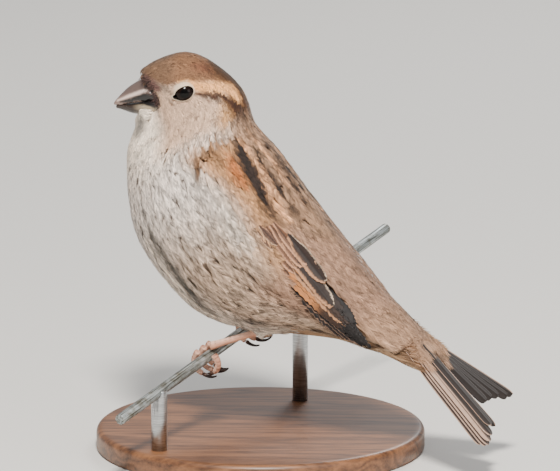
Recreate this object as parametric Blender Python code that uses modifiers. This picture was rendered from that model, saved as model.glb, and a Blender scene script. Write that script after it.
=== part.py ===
"""House sparrow, female, life size, gripping a cut length of wire on a display stand.

Units are metres and +Z is up. Sizes are given in millimetres and turned into metres by MM.
The origin is the middle of the stand's underside. The bird is described in its own frame:
s runs forward along its facing, t runs to its left side and z runs up, all measured from the
point of its middle plane that is level with the left foot's grip.
"""

import math

import bmesh
import bpy
from mathutils import Matrix, Vector

MM = 0.001
GAP = 0.3                                   # clearance between neighbouring pieces, mm
SHARP_ANGLE = math.radians(50.0)            # edges sharper than this stay crisp

# ---- Stand and perch, mm ----
BASE_RADIUS = 46.0
BASE_HEIGHT = 6.0
BASE_EDGE = 1.6                             # rounding of the base's rim
GRIP_HEIGHT = 28.0                          # wire's axis at the left foot, above the floor
GRIP_PLACE = (-14.0, -8.0)                  # left foot's grip, from the middle of the base
WIRE_RADIUS = 1.5
WIRE_HEADING = math.radians(55.8)           # in plan, from +X
WIRE_RISE = math.radians(12.8)
WIRE_ENDS = (-44.0, 92.0)                   # along the wire, from the left foot's grip
ROD_RADIUS = 2.2
ROD_STATIONS = (-25.0, 46.0)                # along the wire, where the rods hold it
ROD_CUP = 0.5                               # how far the rod's top rises past the wire's axis

# ---- Bird's stance ----
BODY_YAW = math.radians(28.0)               # facing, turned from -X towards +Y
LEFT_FOOT_SIDE = 10.0                       # left foot, sideways from the middle plane, mm
RIGHT_FOOT_STEP = 22.0                      # right foot, along the wire from the left, mm
NECK_PIVOT = 1.0                            # s of the upright axis that the head turns about, mm

# Body sections from the face back to the tail root. Each is a plane through (s, z) whose back
# edge leans by `lean` degrees above the rearward level, with half its depth and half its width,
# and the head's turn to the left in degrees. A positive `low` puts the widest point nearer the
# belly.
BODY_SECTIONS = [
    # s      z     lean  depth  width  turn  low
    (22.6, 71.3, 99.0, 5.2, 4.5, 24.0, 0.00),
    (23.9, 72.2, 88.0, 7.4, 6.5, 24.0, 0.06),
    (22.7, 72.5, 77.0, 9.9, 8.0, 24.0, 0.10),
    (20.4, 72.1, 64.0, 12.8, 9.0, 23.0, 0.12),
    (17.6, 70.4, 53.0, 15.6, 10.0, 20.0, 0.12),
    (14.9, 67.4, 42.0, 17.5, 11.4, 16.0, 0.12),
    (12.4, 63.7, 33.0, 19.1, 13.2, 12.0, 0.12),
    (11.4, 59.7, 29.0, 19.8, 15.3, 8.0, 0.12),
    (10.3, 55.0, 26.0, 20.6, 17.6, 4.0, 0.12),
    (7.6, 50.4, 25.0, 23.0, 19.0, 1.0, 0.12),
    (3.7, 43.3, 24.5, 25.5, 20.2, 0.0, 0.12),
    (-1.3, 35.8, 23.5, 26.6, 20.6, 0.0, 0.10),
    (-7.2, 28.7, 24.0, 26.8, 20.2, 0.0, 0.10),
    (-14.3, 21.7, 26.0, 26.0, 18.8, 0.0, 0.08),
    (-23.0, 16.9, 28.0, 22.8, 16.8, 0.0, 0.04),
    (-32.6, 14.4, 27.5, 17.4, 14.8, 0.0, 0.02),
    (-42.2, 12.4, 28.0, 11.8, 12.8, 0.0, 0.00),
    (-50.7, 9.4, 33.0, 7.4, 11.2, 0.0, 0.00),
    (-57.9, 6.7, 45.0, 3.8, 9.6, 0.0, 0.00),
]
BODY_CUTS = (0.0, 6.0, 9.0, 14.4, 18.0)     # where the body is parted, counted in sections
BODY_NODES = ("head", "neck", "trunk", "rump")
CUT_SHARE = 0.06                            # half a thin cut, counted in sections
RINGS_PER_SECTION = 2
BODY_SIDES = 26

# ---- Bill, in the plane of the face, mm ----
BILL_LENGTH = 9.0
BILL_TIP_DROP = -1.0                        # the tip, above the middle of the face section
BILL_TOP = 4.8
BILL_PARTING = -1.55
BILL_BOTTOM = -4.6
BILL_HALF_WIDTH = 4.0
LOWER_BILL_SHARE = 0.93                     # lower mandible's length as a share of the upper's

# ---- Eyes, mm ----
EYE_PLACE = (11.2, 73.8)                    # s and z in the turned head
EYE_SIDE = 7.3                              # eyeball's middle, sideways from the head's middle
EYE_RADIUS = 3.1

# ---- Folded wings: a band on the body's side, by section number ----
# section, middle angle from the back, half angle (degrees)
WING_BAND = [
    (8.7, 60.0, 9.0),
    (9.6, 60.0, 15.0),
    (11.0, 57.0, 20.0),
    (12.4, 53.0, 24.0),
    (13.6, 52.0, 25.0),
    (14.8, 60.0, 22.0),
    (15.8, 74.0, 17.0),
    (16.6, 96.0, 13.0),
    (17.25, 118.0, 8.0),
]
WING_CUT = 13.3                             # coverts end and flight feathers begin
WING_THICKNESS = 2.2
WING_EDGE = 0.6
WING_STEPS = 24
WING_ACROSS = 6

# ---- Tail, mm and degrees ----
TAIL_ROOT = (-45.3, 22.2)                   # s and z
TAIL_DROOP = math.radians(46.0)
TAIL_SWING = math.radians(10.7)             # to the right
TAIL_HALVES = {                             # inner and outer angle, inner and outer length
    "tail_left": (-2.0, -21.0, 50.0, 55.0),
    "tail_right": (-1.2, 19.5, 43.0, 52.5),
}
TAIL_START = 20.8                           # along the straight droop, clear of the rump
TAIL_THICKNESS = 1.5
TAIL_EDGE = 0.7

# ---- Legs, mm ----
LEFT_HEEL = (-17.5, 8.6, 9.0)
RIGHT_HEEL = (-19.0, -8.6, 13.0)
ANKLE_RADIUS = 1.25
SHANK_RADIUS = 0.95
HEEL_RADIUS = 1.45
ANKLE_LEAN = math.radians(-14.0)            # round the wire from its top, forward is positive
THIGH_RADIUS = 4.6
THIGH_TOP = (-3.0, 0.0, 9.0)                # top of the feathered thigh, from the heel

# Toes wrap the wire. Each is: side offset along the wire, first and last angle, base and tip radius
TOES = {
    "toe_inner": (2.9, 40.0, 162.0, 0.80, 0.62),
    "toe_middle": (0.2, 42.0, 182.0, 0.88, 0.66),
    "toe_outer": (-3.1, 40.0, 168.0, 0.78, 0.60),
    "toe_hind": (-1.45, -66.0, -156.0, 0.92, 0.72),
}
TOE_SWELL = 1.8                             # how far the toes stand off under the wire
CLAW_LENGTH = {"toe_inner": 4.6, "toe_middle": 5.6, "toe_outer": 4.6, "toe_hind": 5.6}
CLAW_DROP = math.radians(14.0)              # the claw's first bend, away from the wire
CLAW_SWEEP = math.radians(62.0)
TOE_POINTS = 9
CLAW_POINTS = 7

COLOURS = {
    "plumage_head": ((0.30, 0.22, 0.15), 0.85),
    "plumage_body": ((0.42, 0.36, 0.31), 0.85),
    "plumage_wing": ((0.22, 0.14, 0.09), 0.8),
    "plumage_tail": ((0.17, 0.12, 0.09), 0.75),
    "bill": ((0.17, 0.15, 0.14), 0.4),
    "eye": ((0.01, 0.008, 0.006), 0.05),
    "leg": ((0.52, 0.30, 0.22), 0.5),
    "claw": ((0.03, 0.025, 0.02), 0.35),
    "wire": ((0.40, 0.42, 0.43), 0.4),
    "stand_metal": ((0.55, 0.56, 0.57), 0.3),
    "stand_wood": ((0.36, 0.22, 0.12), 0.45),
}
METALS = ("wire", "stand_metal")

facing = Vector((-math.cos(BODY_YAW), math.sin(BODY_YAW), 0.0))
leftward = Vector((-math.sin(BODY_YAW), -math.cos(BODY_YAW), 0.0))
upward = Vector((0.0, 0.0, 1.0))
grip = Vector((GRIP_PLACE[0], GRIP_PLACE[1], GRIP_HEIGHT))
bird_origin = grip - LEFT_FOOT_SIDE * leftward
wire_axis = Vector((
    math.cos(WIRE_RISE) * math.cos(WIRE_HEADING),
    math.cos(WIRE_RISE) * math.sin(WIRE_HEADING),
    math.sin(WIRE_RISE),
))


# ---- Small helpers ----

def from_bird(s, t, z):
    """A point of the bird's own frame, in millimetres of the world."""
    return bird_origin + s * facing + t * leftward + z * upward


def blend(low, high, share):
    return low + (high - low) * share


def spline_row(rows, place):
    """Catmull-Rom reading of a table of rows at a fractional row number."""
    last = len(rows) - 1
    place = min(max(place, 0.0), float(last))
    start = min(int(place), last - 1)
    share = place - start
    before, here = rows[max(start - 1, 0)], rows[start]
    there, beyond = rows[start + 1], rows[min(start + 2, last)]
    values = []
    for p0, p1, p2, p3 in zip(before, here, there, beyond):
        bend = 2 * p0 - 5 * p1 + 4 * p2 - p3
        twist = 3 * (p1 - p2) + p3 - p0
        values.append(0.5 * (2 * p1 + share * (p2 - p0 + share * (bend + share * twist))))
    return values


def read_table(rows, key):
    """Smooth reading of a table whose first column rises, at any key."""
    keys = [row[0] for row in rows]
    key = min(max(key, keys[0]), keys[-1])
    start = max(i for i in range(len(keys) - 1) if keys[i] <= key)
    share = (key - keys[start]) / (keys[start + 1] - keys[start])
    return spline_row(rows, start + share)[1:]


def material(name):
    found = bpy.data.materials.get(name)
    if found:
        return found
    colour, roughness = COLOURS[name]
    made = bpy.data.materials.new(name)
    made.use_nodes = True
    shader = made.node_tree.nodes["Principled BSDF"]
    shader.inputs["Base Color"].default_value = (*colour, 1.0)
    shader.inputs["Roughness"].default_value = roughness
    shader.inputs["Metallic"].default_value = 1.0 if name in METALS else 0.0
    made.diffuse_color = (*colour, 1.0)
    return made


def collection(name):
    made = bpy.data.collections.new(name)
    bpy.context.scene.collection.children.link(made)
    return made


def add_object(name, mesh, finish, where):
    made = bpy.data.objects.new(name, mesh)
    where.objects.link(made)
    if finish:
        mesh.materials.append(material(finish))
    mesh.shade_smooth()
    mesh.set_sharp_from_angle(angle=SHARP_ANGLE)
    return made


def mesh_from(name, work):
    """A mesh in metres from a bmesh in millimetres, with its faces turned outward."""
    bmesh.ops.scale(work, vec=(MM, MM, MM), verts=work.verts)
    bmesh.ops.recalc_face_normals(work, faces=work.faces)
    mesh = bpy.data.meshes.new(name)
    work.to_mesh(mesh)
    work.free()
    return mesh


def loft_mesh(name, rings):
    """A closed solid through rings of equal count, closed at both ends by a fan."""
    work = bmesh.new()
    loops = [[work.verts.new(point) for point in ring] for ring in rings]
    count = len(rings[0])
    for near, far in zip(loops, loops[1:]):
        for i in range(count):
            j = (i + 1) % count
            work.faces.new((near[i], near[j], far[j], far[i]))
    for loop, ring in ((loops[0], rings[0]), (loops[-1], rings[-1])):
        middle = work.verts.new(sum(ring, Vector()) / count)
        for i in range(count):
            work.faces.new((loop[i], loop[(i + 1) % count], middle))
    return mesh_from(name, work)


def plate_mesh(name, outer, inner):
    """A closed plate between two grids of points that face each other."""
    work = bmesh.new()
    top = [[work.verts.new(point) for point in row] for row in outer]
    bottom = [[work.verts.new(point) for point in row] for row in inner]
    rows, across = len(outer), len(outer[0])
    for i in range(rows - 1):
        for j in range(across - 1):
            work.faces.new((top[i][j], top[i][j + 1], top[i + 1][j + 1], top[i + 1][j]))
            work.faces.new((bottom[i][j], bottom[i + 1][j], bottom[i + 1][j + 1], bottom[i][j + 1]))
    for i in range(rows - 1):
        for j in (0, across - 1):
            work.faces.new((top[i][j], top[i + 1][j], bottom[i + 1][j], bottom[i][j]))
    for j in range(across - 1):
        for i in (0, rows - 1):
            work.faces.new((top[i][j], bottom[i][j], bottom[i][j + 1], top[i][j + 1]))
    return mesh_from(name, work)


def tube_mesh(name, points, radii, resolution=2):
    """A round tube of changing radius along points in millimetres, as one closed mesh."""
    curve = bpy.data.curves.new(name, "CURVE")
    curve.dimensions = "3D"
    curve.bevel_depth = MM
    curve.bevel_resolution = resolution
    curve.use_fill_caps = True
    line = curve.splines.new("POLY")
    line.points.add(len(points) - 1)
    for knot, point, radius in zip(line.points, points, radii):
        knot.co = (*(Vector(point) * MM), 1.0)
        knot.radius = radius
    holder = bpy.data.objects.new(name + "_line", curve)
    bpy.context.scene.collection.objects.link(holder)
    bpy.context.view_layer.update()
    mesh = bpy.data.meshes.new_from_object(holder.evaluated_get(bpy.context.evaluated_depsgraph_get()))
    bpy.data.objects.remove(holder)
    bpy.data.curves.remove(curve)
    mesh.name = name
    work = bmesh.new()
    work.from_mesh(mesh)
    bmesh.ops.remove_doubles(work, verts=work.verts, dist=0.005 * MM)
    bmesh.ops.recalc_face_normals(work, faces=work.faces)
    work.to_mesh(mesh)
    work.free()
    mesh.materials.clear()
    return mesh


def cut_with(target, cutter):
    cutter.hide_render = True
    cutter.display_type = "WIRE"
    cut = target.modifiers.new("cut_" + cutter.name, "BOOLEAN")
    cut.operation = "DIFFERENCE"
    cut.solver = "EXACT"
    cut.object = cutter


# ---- Body ----

def section_frame(place):
    """Middle, back direction, left direction and sizes of the body section at a place."""
    s, z, lean, depth, width, turn, low = spline_row(BODY_SECTIONS, place)
    swing = Matrix.Rotation(math.radians(turn), 3, "Z")
    ahead, side = swing @ facing, swing @ leftward
    middle = from_bird(NECK_PIVOT, 0.0, z) + (s - NECK_PIVOT) * ahead
    lean = math.radians(lean)
    back = -math.cos(lean) * ahead + math.sin(lean) * upward
    return middle, back, side, depth, width, low


def body_point(place, angle, lift=0.0):
    """Point on the body at a section and an angle from the back, positive to the left."""
    middle, back, side, depth, width, low = section_frame(place)
    rise, reach = math.cos(angle), math.sin(angle)
    wide = width * (1.0 - low * rise)
    point = middle + depth * rise * back + wide * reach * side
    outward = (rise / depth) * back + (reach / wide) * side
    return point + lift * outward.normalized()


def body_ring(place):
    angles = [2 * math.pi * i / BODY_SIDES for i in range(BODY_SIDES)]
    return [body_point(place, angle) for angle in angles]


def add_body(where):
    made = {}
    last = BODY_CUTS[-1]
    for name, start, end in zip(BODY_NODES, BODY_CUTS, BODY_CUTS[1:]):
        first = start if start == 0.0 else start + CUT_SHARE
        final = end if end == last else end - CUT_SHARE
        steps = round((final - first) * RINGS_PER_SECTION)
        rings = [body_ring(blend(first, final, i / steps)) for i in range(steps + 1)]
        finish = "plumage_head" if name == "head" else "plumage_body"
        made[name] = add_object(name, loft_mesh(name, rings), finish, where)
    return made


# ---- Bill ----

def face_frame():
    middle, back, side = section_frame(0.0)[:3]
    return middle, side.cross(back), back, side


def bill_rings(length, top, bottom, tip_top, tip_bottom, up):
    """Rings of one mandible. `up` is 1 for the upper one, whose arch is above its flat."""
    middle, ahead, rise, side = face_frame()
    rings = []
    steps, arch_points, flat_points = 9, 9, 3
    for i in range(steps + 1):
        share = i / steps
        reach = GAP + (length - GAP) * share
        taper = (1.0 - share ** 1.25)
        width = 0.25 + (BILL_HALF_WIDTH - 0.25) * taper
        if up > 0:
            high, low = blend(tip_top, top, 1.0 - share ** 1.45), blend(bottom, tip_bottom, share)
        else:
            high, low = blend(bottom, tip_bottom, share), blend(tip_top, top, 1.0 - share ** 1.15)
        ring = []
        for j in range(arch_points + 1):
            turn = math.pi * j / arch_points
            arch = math.sin(turn) ** 0.85
            level = low + (high - low) * arch if up > 0 else high - (high - low) * arch
            ring.append((width * math.cos(turn), level))
        for j in range(1, flat_points + 1):
            flat = low if up > 0 else high
            ring.append((width * (-1.0 + 2.0 * j / (flat_points + 1)), flat))
        rings.append([middle + reach * ahead + y * side + h * rise for y, h in ring])
    return rings


def add_bill(where):
    half_gap = GAP / 2
    upper = bill_rings(
        BILL_LENGTH, BILL_TOP, BILL_PARTING + half_gap, BILL_TIP_DROP + 0.3, BILL_TIP_DROP - 0.25, 1)
    lower = bill_rings(
        BILL_LENGTH * LOWER_BILL_SHARE, BILL_BOTTOM, BILL_PARTING - half_gap,
        BILL_TIP_DROP - 1.1, BILL_TIP_DROP - 0.6, -1)
    for name, rings in (("upper_mandible", upper), ("lower_mandible", lower)):
        add_object(name, loft_mesh(name, rings), "bill", where)


# ---- Eyes ----

def eye_middle(sign):
    turn = math.radians(BODY_SECTIONS[0][5])
    swing = Matrix.Rotation(turn, 3, "Z")
    s, z = EYE_PLACE
    middle = from_bird(NECK_PIVOT, 0.0, z) + (s - NECK_PIVOT) * (swing @ facing)
    return middle + sign * EYE_SIDE * (swing @ leftward)


def ball_mesh(name, middle, radius, rings=10, segments=16):
    work = bmesh.new()
    bmesh.ops.create_uvsphere(work, u_segments=segments, v_segments=rings, radius=radius)
    bmesh.ops.translate(work, vec=middle, verts=work.verts)
    return mesh_from(name, work)


def add_eyes(where, cutters, head):
    for name, sign in (("eye_left", 1.0), ("eye_right", -1.0)):
        middle = eye_middle(sign)
        add_object(name, ball_mesh(name, middle, EYE_RADIUS), "eye", where)
        socket = ball_mesh(name + "_socket", middle, EYE_RADIUS + GAP)
        cut_with(head, add_object(name + "_socket", socket, None, cutters))


# ---- Wings ----

def wing_grids(start, end, sign, steps):
    outer, inner = [], []
    tip = WING_BAND[-1][0]
    for i in range(steps + 1):
        place = blend(start, end, i / steps)
        angle, half = read_table(WING_BAND, place)
        fade = min(1.0, 0.35 + (tip - place) / 3.0)
        outer_row, inner_row = [], []
        for j in range(WING_ACROSS + 1):
            across = -1.0 + 2.0 * j / WING_ACROSS
            bulge = WING_EDGE + (WING_THICKNESS - WING_EDGE) * fade * (1.0 - across ** 2)
            turn = sign * math.radians(angle + across * half)
            outer_row.append(body_point(place, turn, GAP + bulge))
            inner_row.append(body_point(place, turn, GAP + 0.05))
        outer.append(outer_row)
        inner.append(inner_row)
    return outer, inner


def add_wings(where):
    first, last = WING_BAND[0][0], WING_BAND[-1][0]
    cut_steps = round(WING_STEPS * (WING_CUT - first) / (last - first))
    spans = (
        ("wing", first, WING_CUT - 0.025, cut_steps),
        ("flight", WING_CUT + 0.025, last, WING_STEPS - cut_steps),
    )
    for side, sign in (("left", 1.0), ("right", -1.0)):
        for part, start, end, steps in spans:
            name = part + "_" + side
            add_object(name, plate_mesh(name, *wing_grids(start, end, sign, steps)), "plumage_wing", where)


# ---- Tail ----

def tail_frame():
    droop = -math.cos(TAIL_DROOP) * facing - math.sin(TAIL_DROOP) * upward
    right = -leftward
    along = math.cos(TAIL_SWING) * droop + math.sin(TAIL_SWING) * right
    across = math.cos(TAIL_SWING) * right - math.sin(TAIL_SWING) * droop
    normal = across.cross(along)
    if normal.z < 0.0:
        normal = -normal
    return from_bird(TAIL_ROOT[0], 0.0, TAIL_ROOT[1]), along, across, normal


def add_tail(where):
    root, along, across, normal = tail_frame()
    steps, columns = 12, 7
    for name, (inner_angle, outer_angle, inner_length, outer_length) in TAIL_HALVES.items():
        top, bottom = [], []
        for i in range(steps + 1):
            share = i / steps
            top_row, bottom_row = [], []
            for j in range(columns + 1):
                side = j / columns
                angle = math.radians(blend(inner_angle, outer_angle, side))
                length = blend(inner_length, outer_length, min(1.0, 1.5 * side))
                length -= 3.0 * max(0.0, side - 0.75) ** 2 / 0.0625
                start = TAIL_START / math.cos(angle + TAIL_SWING)
                reach = blend(start, length, share)
                point = root + reach * (math.cos(angle) * along + math.sin(angle) * across)
                crown = 1.0 - (2.0 * side - 1.0) ** 2
                thick = TAIL_EDGE + (TAIL_THICKNESS - TAIL_EDGE) * crown * (1.0 - 0.6 * share)
                top_row.append(point + 0.5 * thick * normal)
                bottom_row.append(point - 0.5 * thick * normal)
            top.append(top_row)
            bottom.append(bottom_row)
        add_object(name, plate_mesh(name, top, bottom), "plumage_tail", where)


# ---- Legs and feet ----

def foot_place(side):
    return grip if side == "left" else grip + RIGHT_FOOT_STEP * wire_axis


def wire_around(angle, radius):
    """Offset from the wire's axis: angle 0 is its top and positive turns to the bird's front."""
    ahead = (facing - facing.dot(wire_axis) * wire_axis).normalized()
    top = wire_axis.cross(ahead)
    if top.z < 0.0:
        top = -top
    return radius * (math.cos(angle) * top + math.sin(angle) * ahead)


def toe_radius_at(angle):
    """Distance of a toe's middle line from the wire's axis."""
    share = min(1.0, max(0.0, (abs(angle) - math.radians(60.0)) / math.radians(95.0)))
    return WIRE_RADIUS + GAP + 0.95 + TOE_SWELL * share * share * (3.0 - 2.0 * share)


def add_toe(side, toe, where):
    offset, first, last, base_radius, tip_radius = TOES[toe]
    outward = 1.0 if side == "right" else -1.0
    place = foot_place(side) - outward * offset * wire_axis
    points, radii = [], []
    for i in range(TOE_POINTS):
        share = i / (TOE_POINTS - 1)
        angle = math.radians(blend(first, last, share))
        points.append(place + wire_around(angle, toe_radius_at(angle)))
        radii.append(blend(base_radius, tip_radius, share))
    name = toe + "_" + side
    add_object(name, tube_mesh(name, points, radii), "leg", where)
    add_claw(toe, side, points[-2], points[-1], radii[-1], where)


def add_claw(toe, side, before, end, radius, where):
    """A curved claw that carries on round from the toe's end."""
    length = CLAW_LENGTH[toe]
    ahead = (end - before).normalized()
    to_wire = foot_place(side) - end
    turning_axis = wire_axis if ahead.cross(to_wire).dot(wire_axis) > 0.0 else -wire_axis
    point = end + (GAP + 0.05) * ahead
    points, radii = [point], [radius * 0.8]
    direction = Matrix.Rotation(-CLAW_DROP, 3, turning_axis) @ ahead
    step = length / (CLAW_POINTS - 1)
    for i in range(1, CLAW_POINTS):
        direction = Matrix.Rotation(CLAW_SWEEP / (CLAW_POINTS - 1), 3, turning_axis) @ direction
        point = point + step * direction
        points.append(point)
        radii.append(blend(radius * 0.8, 0.16, (i / (CLAW_POINTS - 1)) ** 0.8))
    name = toe.replace("toe", "claw") + "_" + side
    add_object(name, tube_mesh(name, points, radii), "claw", where)


def shank_line(side):
    heel = from_bird(*(LEFT_HEEL if side == "left" else RIGHT_HEEL))
    ankle = foot_place(side) + wire_around(ANKLE_LEAN, WIRE_RADIUS + GAP + ANKLE_RADIUS)
    shares = (0.0, 0.08, 0.2, 0.4, 0.6, 0.8, 0.92, 1.0)
    return [heel.lerp(ankle, share) for share in shares]


def add_leg(side, where, cutters):
    points = shank_line(side)
    radii = [HEEL_RADIUS, HEEL_RADIUS * 0.95, 1.1, SHANK_RADIUS, SHANK_RADIUS, 1.0, 1.15, ANKLE_RADIUS]
    name = "tarsus_" + side
    reach = (points[-1] - points[0]).normalized()
    points[-1] = points[-1] + 0.4 * reach
    add_object(name, tube_mesh(name, points, radii, 3), "leg", where)
    wide = tube_mesh(name + "_room", points, [radius + GAP for radius in radii], 3)
    room = add_object(name + "_room", wide, None, cutters)
    for toe in TOES:
        add_toe(side, toe, where)
    return room


def add_thigh(side, where, cutters, shank_room):
    """Feathered thigh, a soft cone round the heel that sinks into the belly."""
    heel = from_bird(*(LEFT_HEEL if side == "left" else RIGHT_HEEL))
    ankle = shank_line(side)[-1]
    ahead = (ankle - heel).normalized()
    top = heel + Vector(THIGH_TOP[0] * facing + THIGH_TOP[2] * upward)
    stations = [top, heel + 3.6 * upward - 1.0 * facing, heel + 1.0 * upward + 1.2 * ahead, heel + 4.2 * ahead]
    sizes = [THIGH_RADIUS * 0.7, THIGH_RADIUS, THIGH_RADIUS * 0.72, 1.9]
    name = "thigh_" + side
    thigh = add_object(name, tube_mesh(name, stations, sizes, 5), "plumage_body", where)
    cut_with(thigh, shank_room)
    wide = tube_mesh(name + "_room", stations, [size + GAP for size in sizes], 5)
    return add_object(name + "_room", wide, None, cutters)


# ---- Perch and stand ----

def wire_at(distance):
    return grip + distance * wire_axis


def add_wire(where):
    points = [wire_at(distance) for distance in WIRE_ENDS]
    mesh = tube_mesh("perch_wire", points, [WIRE_RADIUS] * 2, 6)
    return add_object("perch_wire", mesh, "wire", where)


def add_base(where):
    """Turned base: a rounded-rim profile spun about Z."""
    work = bmesh.new()
    profile = [(0.0, BASE_HEIGHT), (BASE_RADIUS - BASE_EDGE, BASE_HEIGHT)]
    for i in range(1, 5):
        turn = math.radians(90.0 - 90.0 * i / 4)
        profile.append((
            BASE_RADIUS - BASE_EDGE + BASE_EDGE * math.cos(turn),
            BASE_HEIGHT - BASE_EDGE + BASE_EDGE * math.sin(turn),
        ))
    profile += [(BASE_RADIUS, 0.6), (BASE_RADIUS - 0.6, 0.0), (0.0, 0.0)]
    verts = [work.verts.new((x * MM, 0.0, z * MM)) for x, z in profile]
    for first, second in zip(verts, verts[1:]):
        work.edges.new((first, second))
    mesh = bpy.data.meshes.new("stand_base")
    work.to_mesh(mesh)
    work.free()
    base = add_object("stand_base", mesh, "stand_wood", where)
    turned = base.modifiers.new("turned", "SCREW")
    turned.axis = "Z"
    turned.steps = turned.render_steps = 40
    turned.use_merge_vertices = True
    turned.merge_threshold = 0.00001
    return base


def add_rods(where, wire_room):
    for i, station in enumerate(ROD_STATIONS):
        foot = wire_at(station)
        bottom, top = BASE_HEIGHT + GAP, foot.z + ROD_CUP
        work = bmesh.new()
        bmesh.ops.create_cone(
            work, cap_ends=True, segments=24, radius1=ROD_RADIUS, radius2=ROD_RADIUS, depth=top - bottom)
        bmesh.ops.translate(work, vec=(foot.x, foot.y, 0.5 * (top + bottom)), verts=work.verts)
        name = "stand_rod_" + str(i + 1)
        rod = add_object(name, mesh_from(name, work), "stand_metal", where)
        cut_with(rod, wire_room)


def add_wire_room(cutters):
    points = [wire_at(distance) for distance in (WIRE_ENDS[0] - 5.0, WIRE_ENDS[1] + 5.0)]
    mesh = tube_mesh("perch_wire_room", points, [WIRE_RADIUS + GAP] * 2, 6)
    return add_object("perch_wire_room", mesh, None, cutters)


def main():
    for leftover in list(bpy.data.objects):
        bpy.data.objects.remove(leftover)
    sparrow = collection("house_sparrow")
    cutters = collection("cutters")
    body = add_body(sparrow)
    add_bill(sparrow)
    add_eyes(sparrow, cutters, body["head"])
    add_wings(sparrow)
    add_tail(sparrow)
    add_wire(sparrow)
    wire_room = add_wire_room(cutters)
    for side in ("left", "right"):
        shank_room = add_leg(side, sparrow, cutters)
        thigh_room = add_thigh(side, sparrow, cutters, shank_room)
        for flesh in (body["trunk"], body["rump"]):
            cut_with(flesh, thigh_room)
            cut_with(flesh, shank_room)
    cut_with(body["trunk"], wire_room)
    add_base(sparrow)
    add_rods(sparrow, wire_room)


main()
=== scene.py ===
import math

import bmesh
import bpy
import numpy as np
from mathutils import Matrix, Vector
from mathutils.bvhtree import BVHTree
from mathutils.kdtree import KDTree


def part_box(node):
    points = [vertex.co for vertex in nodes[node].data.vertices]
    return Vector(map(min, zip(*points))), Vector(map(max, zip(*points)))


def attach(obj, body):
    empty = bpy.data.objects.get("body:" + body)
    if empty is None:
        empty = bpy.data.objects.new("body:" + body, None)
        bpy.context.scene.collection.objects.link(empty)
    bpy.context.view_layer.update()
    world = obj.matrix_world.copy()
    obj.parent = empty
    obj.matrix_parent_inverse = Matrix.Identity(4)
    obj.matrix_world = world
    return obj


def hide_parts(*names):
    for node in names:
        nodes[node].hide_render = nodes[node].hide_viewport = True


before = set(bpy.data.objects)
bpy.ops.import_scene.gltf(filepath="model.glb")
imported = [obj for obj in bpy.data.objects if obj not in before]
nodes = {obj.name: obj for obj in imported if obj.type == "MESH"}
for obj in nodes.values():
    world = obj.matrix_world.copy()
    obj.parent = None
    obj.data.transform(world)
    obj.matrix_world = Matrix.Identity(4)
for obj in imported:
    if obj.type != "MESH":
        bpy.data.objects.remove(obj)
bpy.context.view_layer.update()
mm = 0.001
weld = 0.00001                                  # m, joins the block model's split corners
seam = 0.000002                                 # m, closes a turned shape
dice = np.random.default_rng(7)

# The bird's stance, mm and degrees: it faces -X turned by yaw, and the head is turned further to its left
stance = {
    "grip": (-14.0, -8.0, 28.0),
    "footSide": 10.0,
    "yaw": 28.0,
    "headTurn": 24.0,
    "neckPivot": 1.0,
}
wireSpot = np.array(stance["grip"])
wireAxis = np.array([0.5481, 0.8067, 0.2216])
wireRadius = 1.5
yaw = math.radians(stance["yaw"])
ahead = np.array([-math.cos(yaw), math.sin(yaw), 0.0])
leftward = np.array([-math.sin(yaw), -math.cos(yaw), 0.0])
upward = np.array([0.0, 0.0, 1.0])
birdOrigin = wireSpot - stance["footSide"] * leftward
headTurn = math.radians(stance["headTurn"])
headAhead = math.cos(headTurn) * ahead + math.sin(headTurn) * leftward
headLeft = math.cos(headTurn) * leftward - math.sin(headTurn) * ahead
headPivot = birdOrigin + stance["neckPivot"] * ahead

# Body sections from the face to the tail's root: ahead, height, lean, depth, half width, turn, fullness below
bodyRows = np.array([
    (22.6, 71.3, 99.0, 5.2, 4.5, 24.0, 0.00),
    (23.9, 72.2, 88.0, 7.4, 6.5, 24.0, 0.06),
    (22.7, 72.5, 77.0, 9.9, 8.0, 24.0, 0.10),
    (20.4, 72.1, 64.0, 12.8, 9.0, 23.0, 0.12),
    (17.6, 70.4, 53.0, 15.6, 10.0, 20.0, 0.12),
    (14.9, 67.4, 42.0, 17.5, 11.4, 16.0, 0.12),
    (12.4, 63.7, 33.0, 19.1, 13.2, 12.0, 0.12),
    (11.4, 59.7, 29.0, 19.8, 15.3, 8.0, 0.12),
    (10.3, 55.0, 26.0, 20.6, 17.6, 4.0, 0.12),
    (7.6, 50.4, 25.0, 23.0, 19.0, 1.0, 0.12),
    (3.7, 43.3, 24.5, 25.5, 20.2, 0.0, 0.12),
    (-1.3, 35.8, 23.5, 26.6, 20.6, 0.0, 0.10),
    (-7.2, 28.7, 24.0, 26.8, 20.2, 0.0, 0.10),
    (-14.3, 21.7, 26.0, 26.0, 18.8, 0.0, 0.08),
    (-23.0, 16.9, 28.0, 22.8, 16.8, 0.0, 0.04),
    (-32.6, 14.4, 27.5, 17.4, 14.8, 0.0, 0.02),
    (-42.2, 12.4, 28.0, 11.8, 12.8, 0.0, 0.00),
    (-50.7, 9.4, 33.0, 7.4, 11.2, 0.0, 0.00),
    (-57.9, 6.7, 45.0, 3.8, 9.6, 0.0, 0.00),
])


def unit(vectors):
    return vectors / np.maximum(np.linalg.norm(vectors, axis=-1, keepdims=True), 1e-9)


def ease(low, high, value):
    share = np.clip((value - low) / (high - low), 0.0, 1.0)
    return share * share * (3.0 - 2.0 * share)


def mix(first, second, share):
    return first + (second - first) * share


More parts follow.
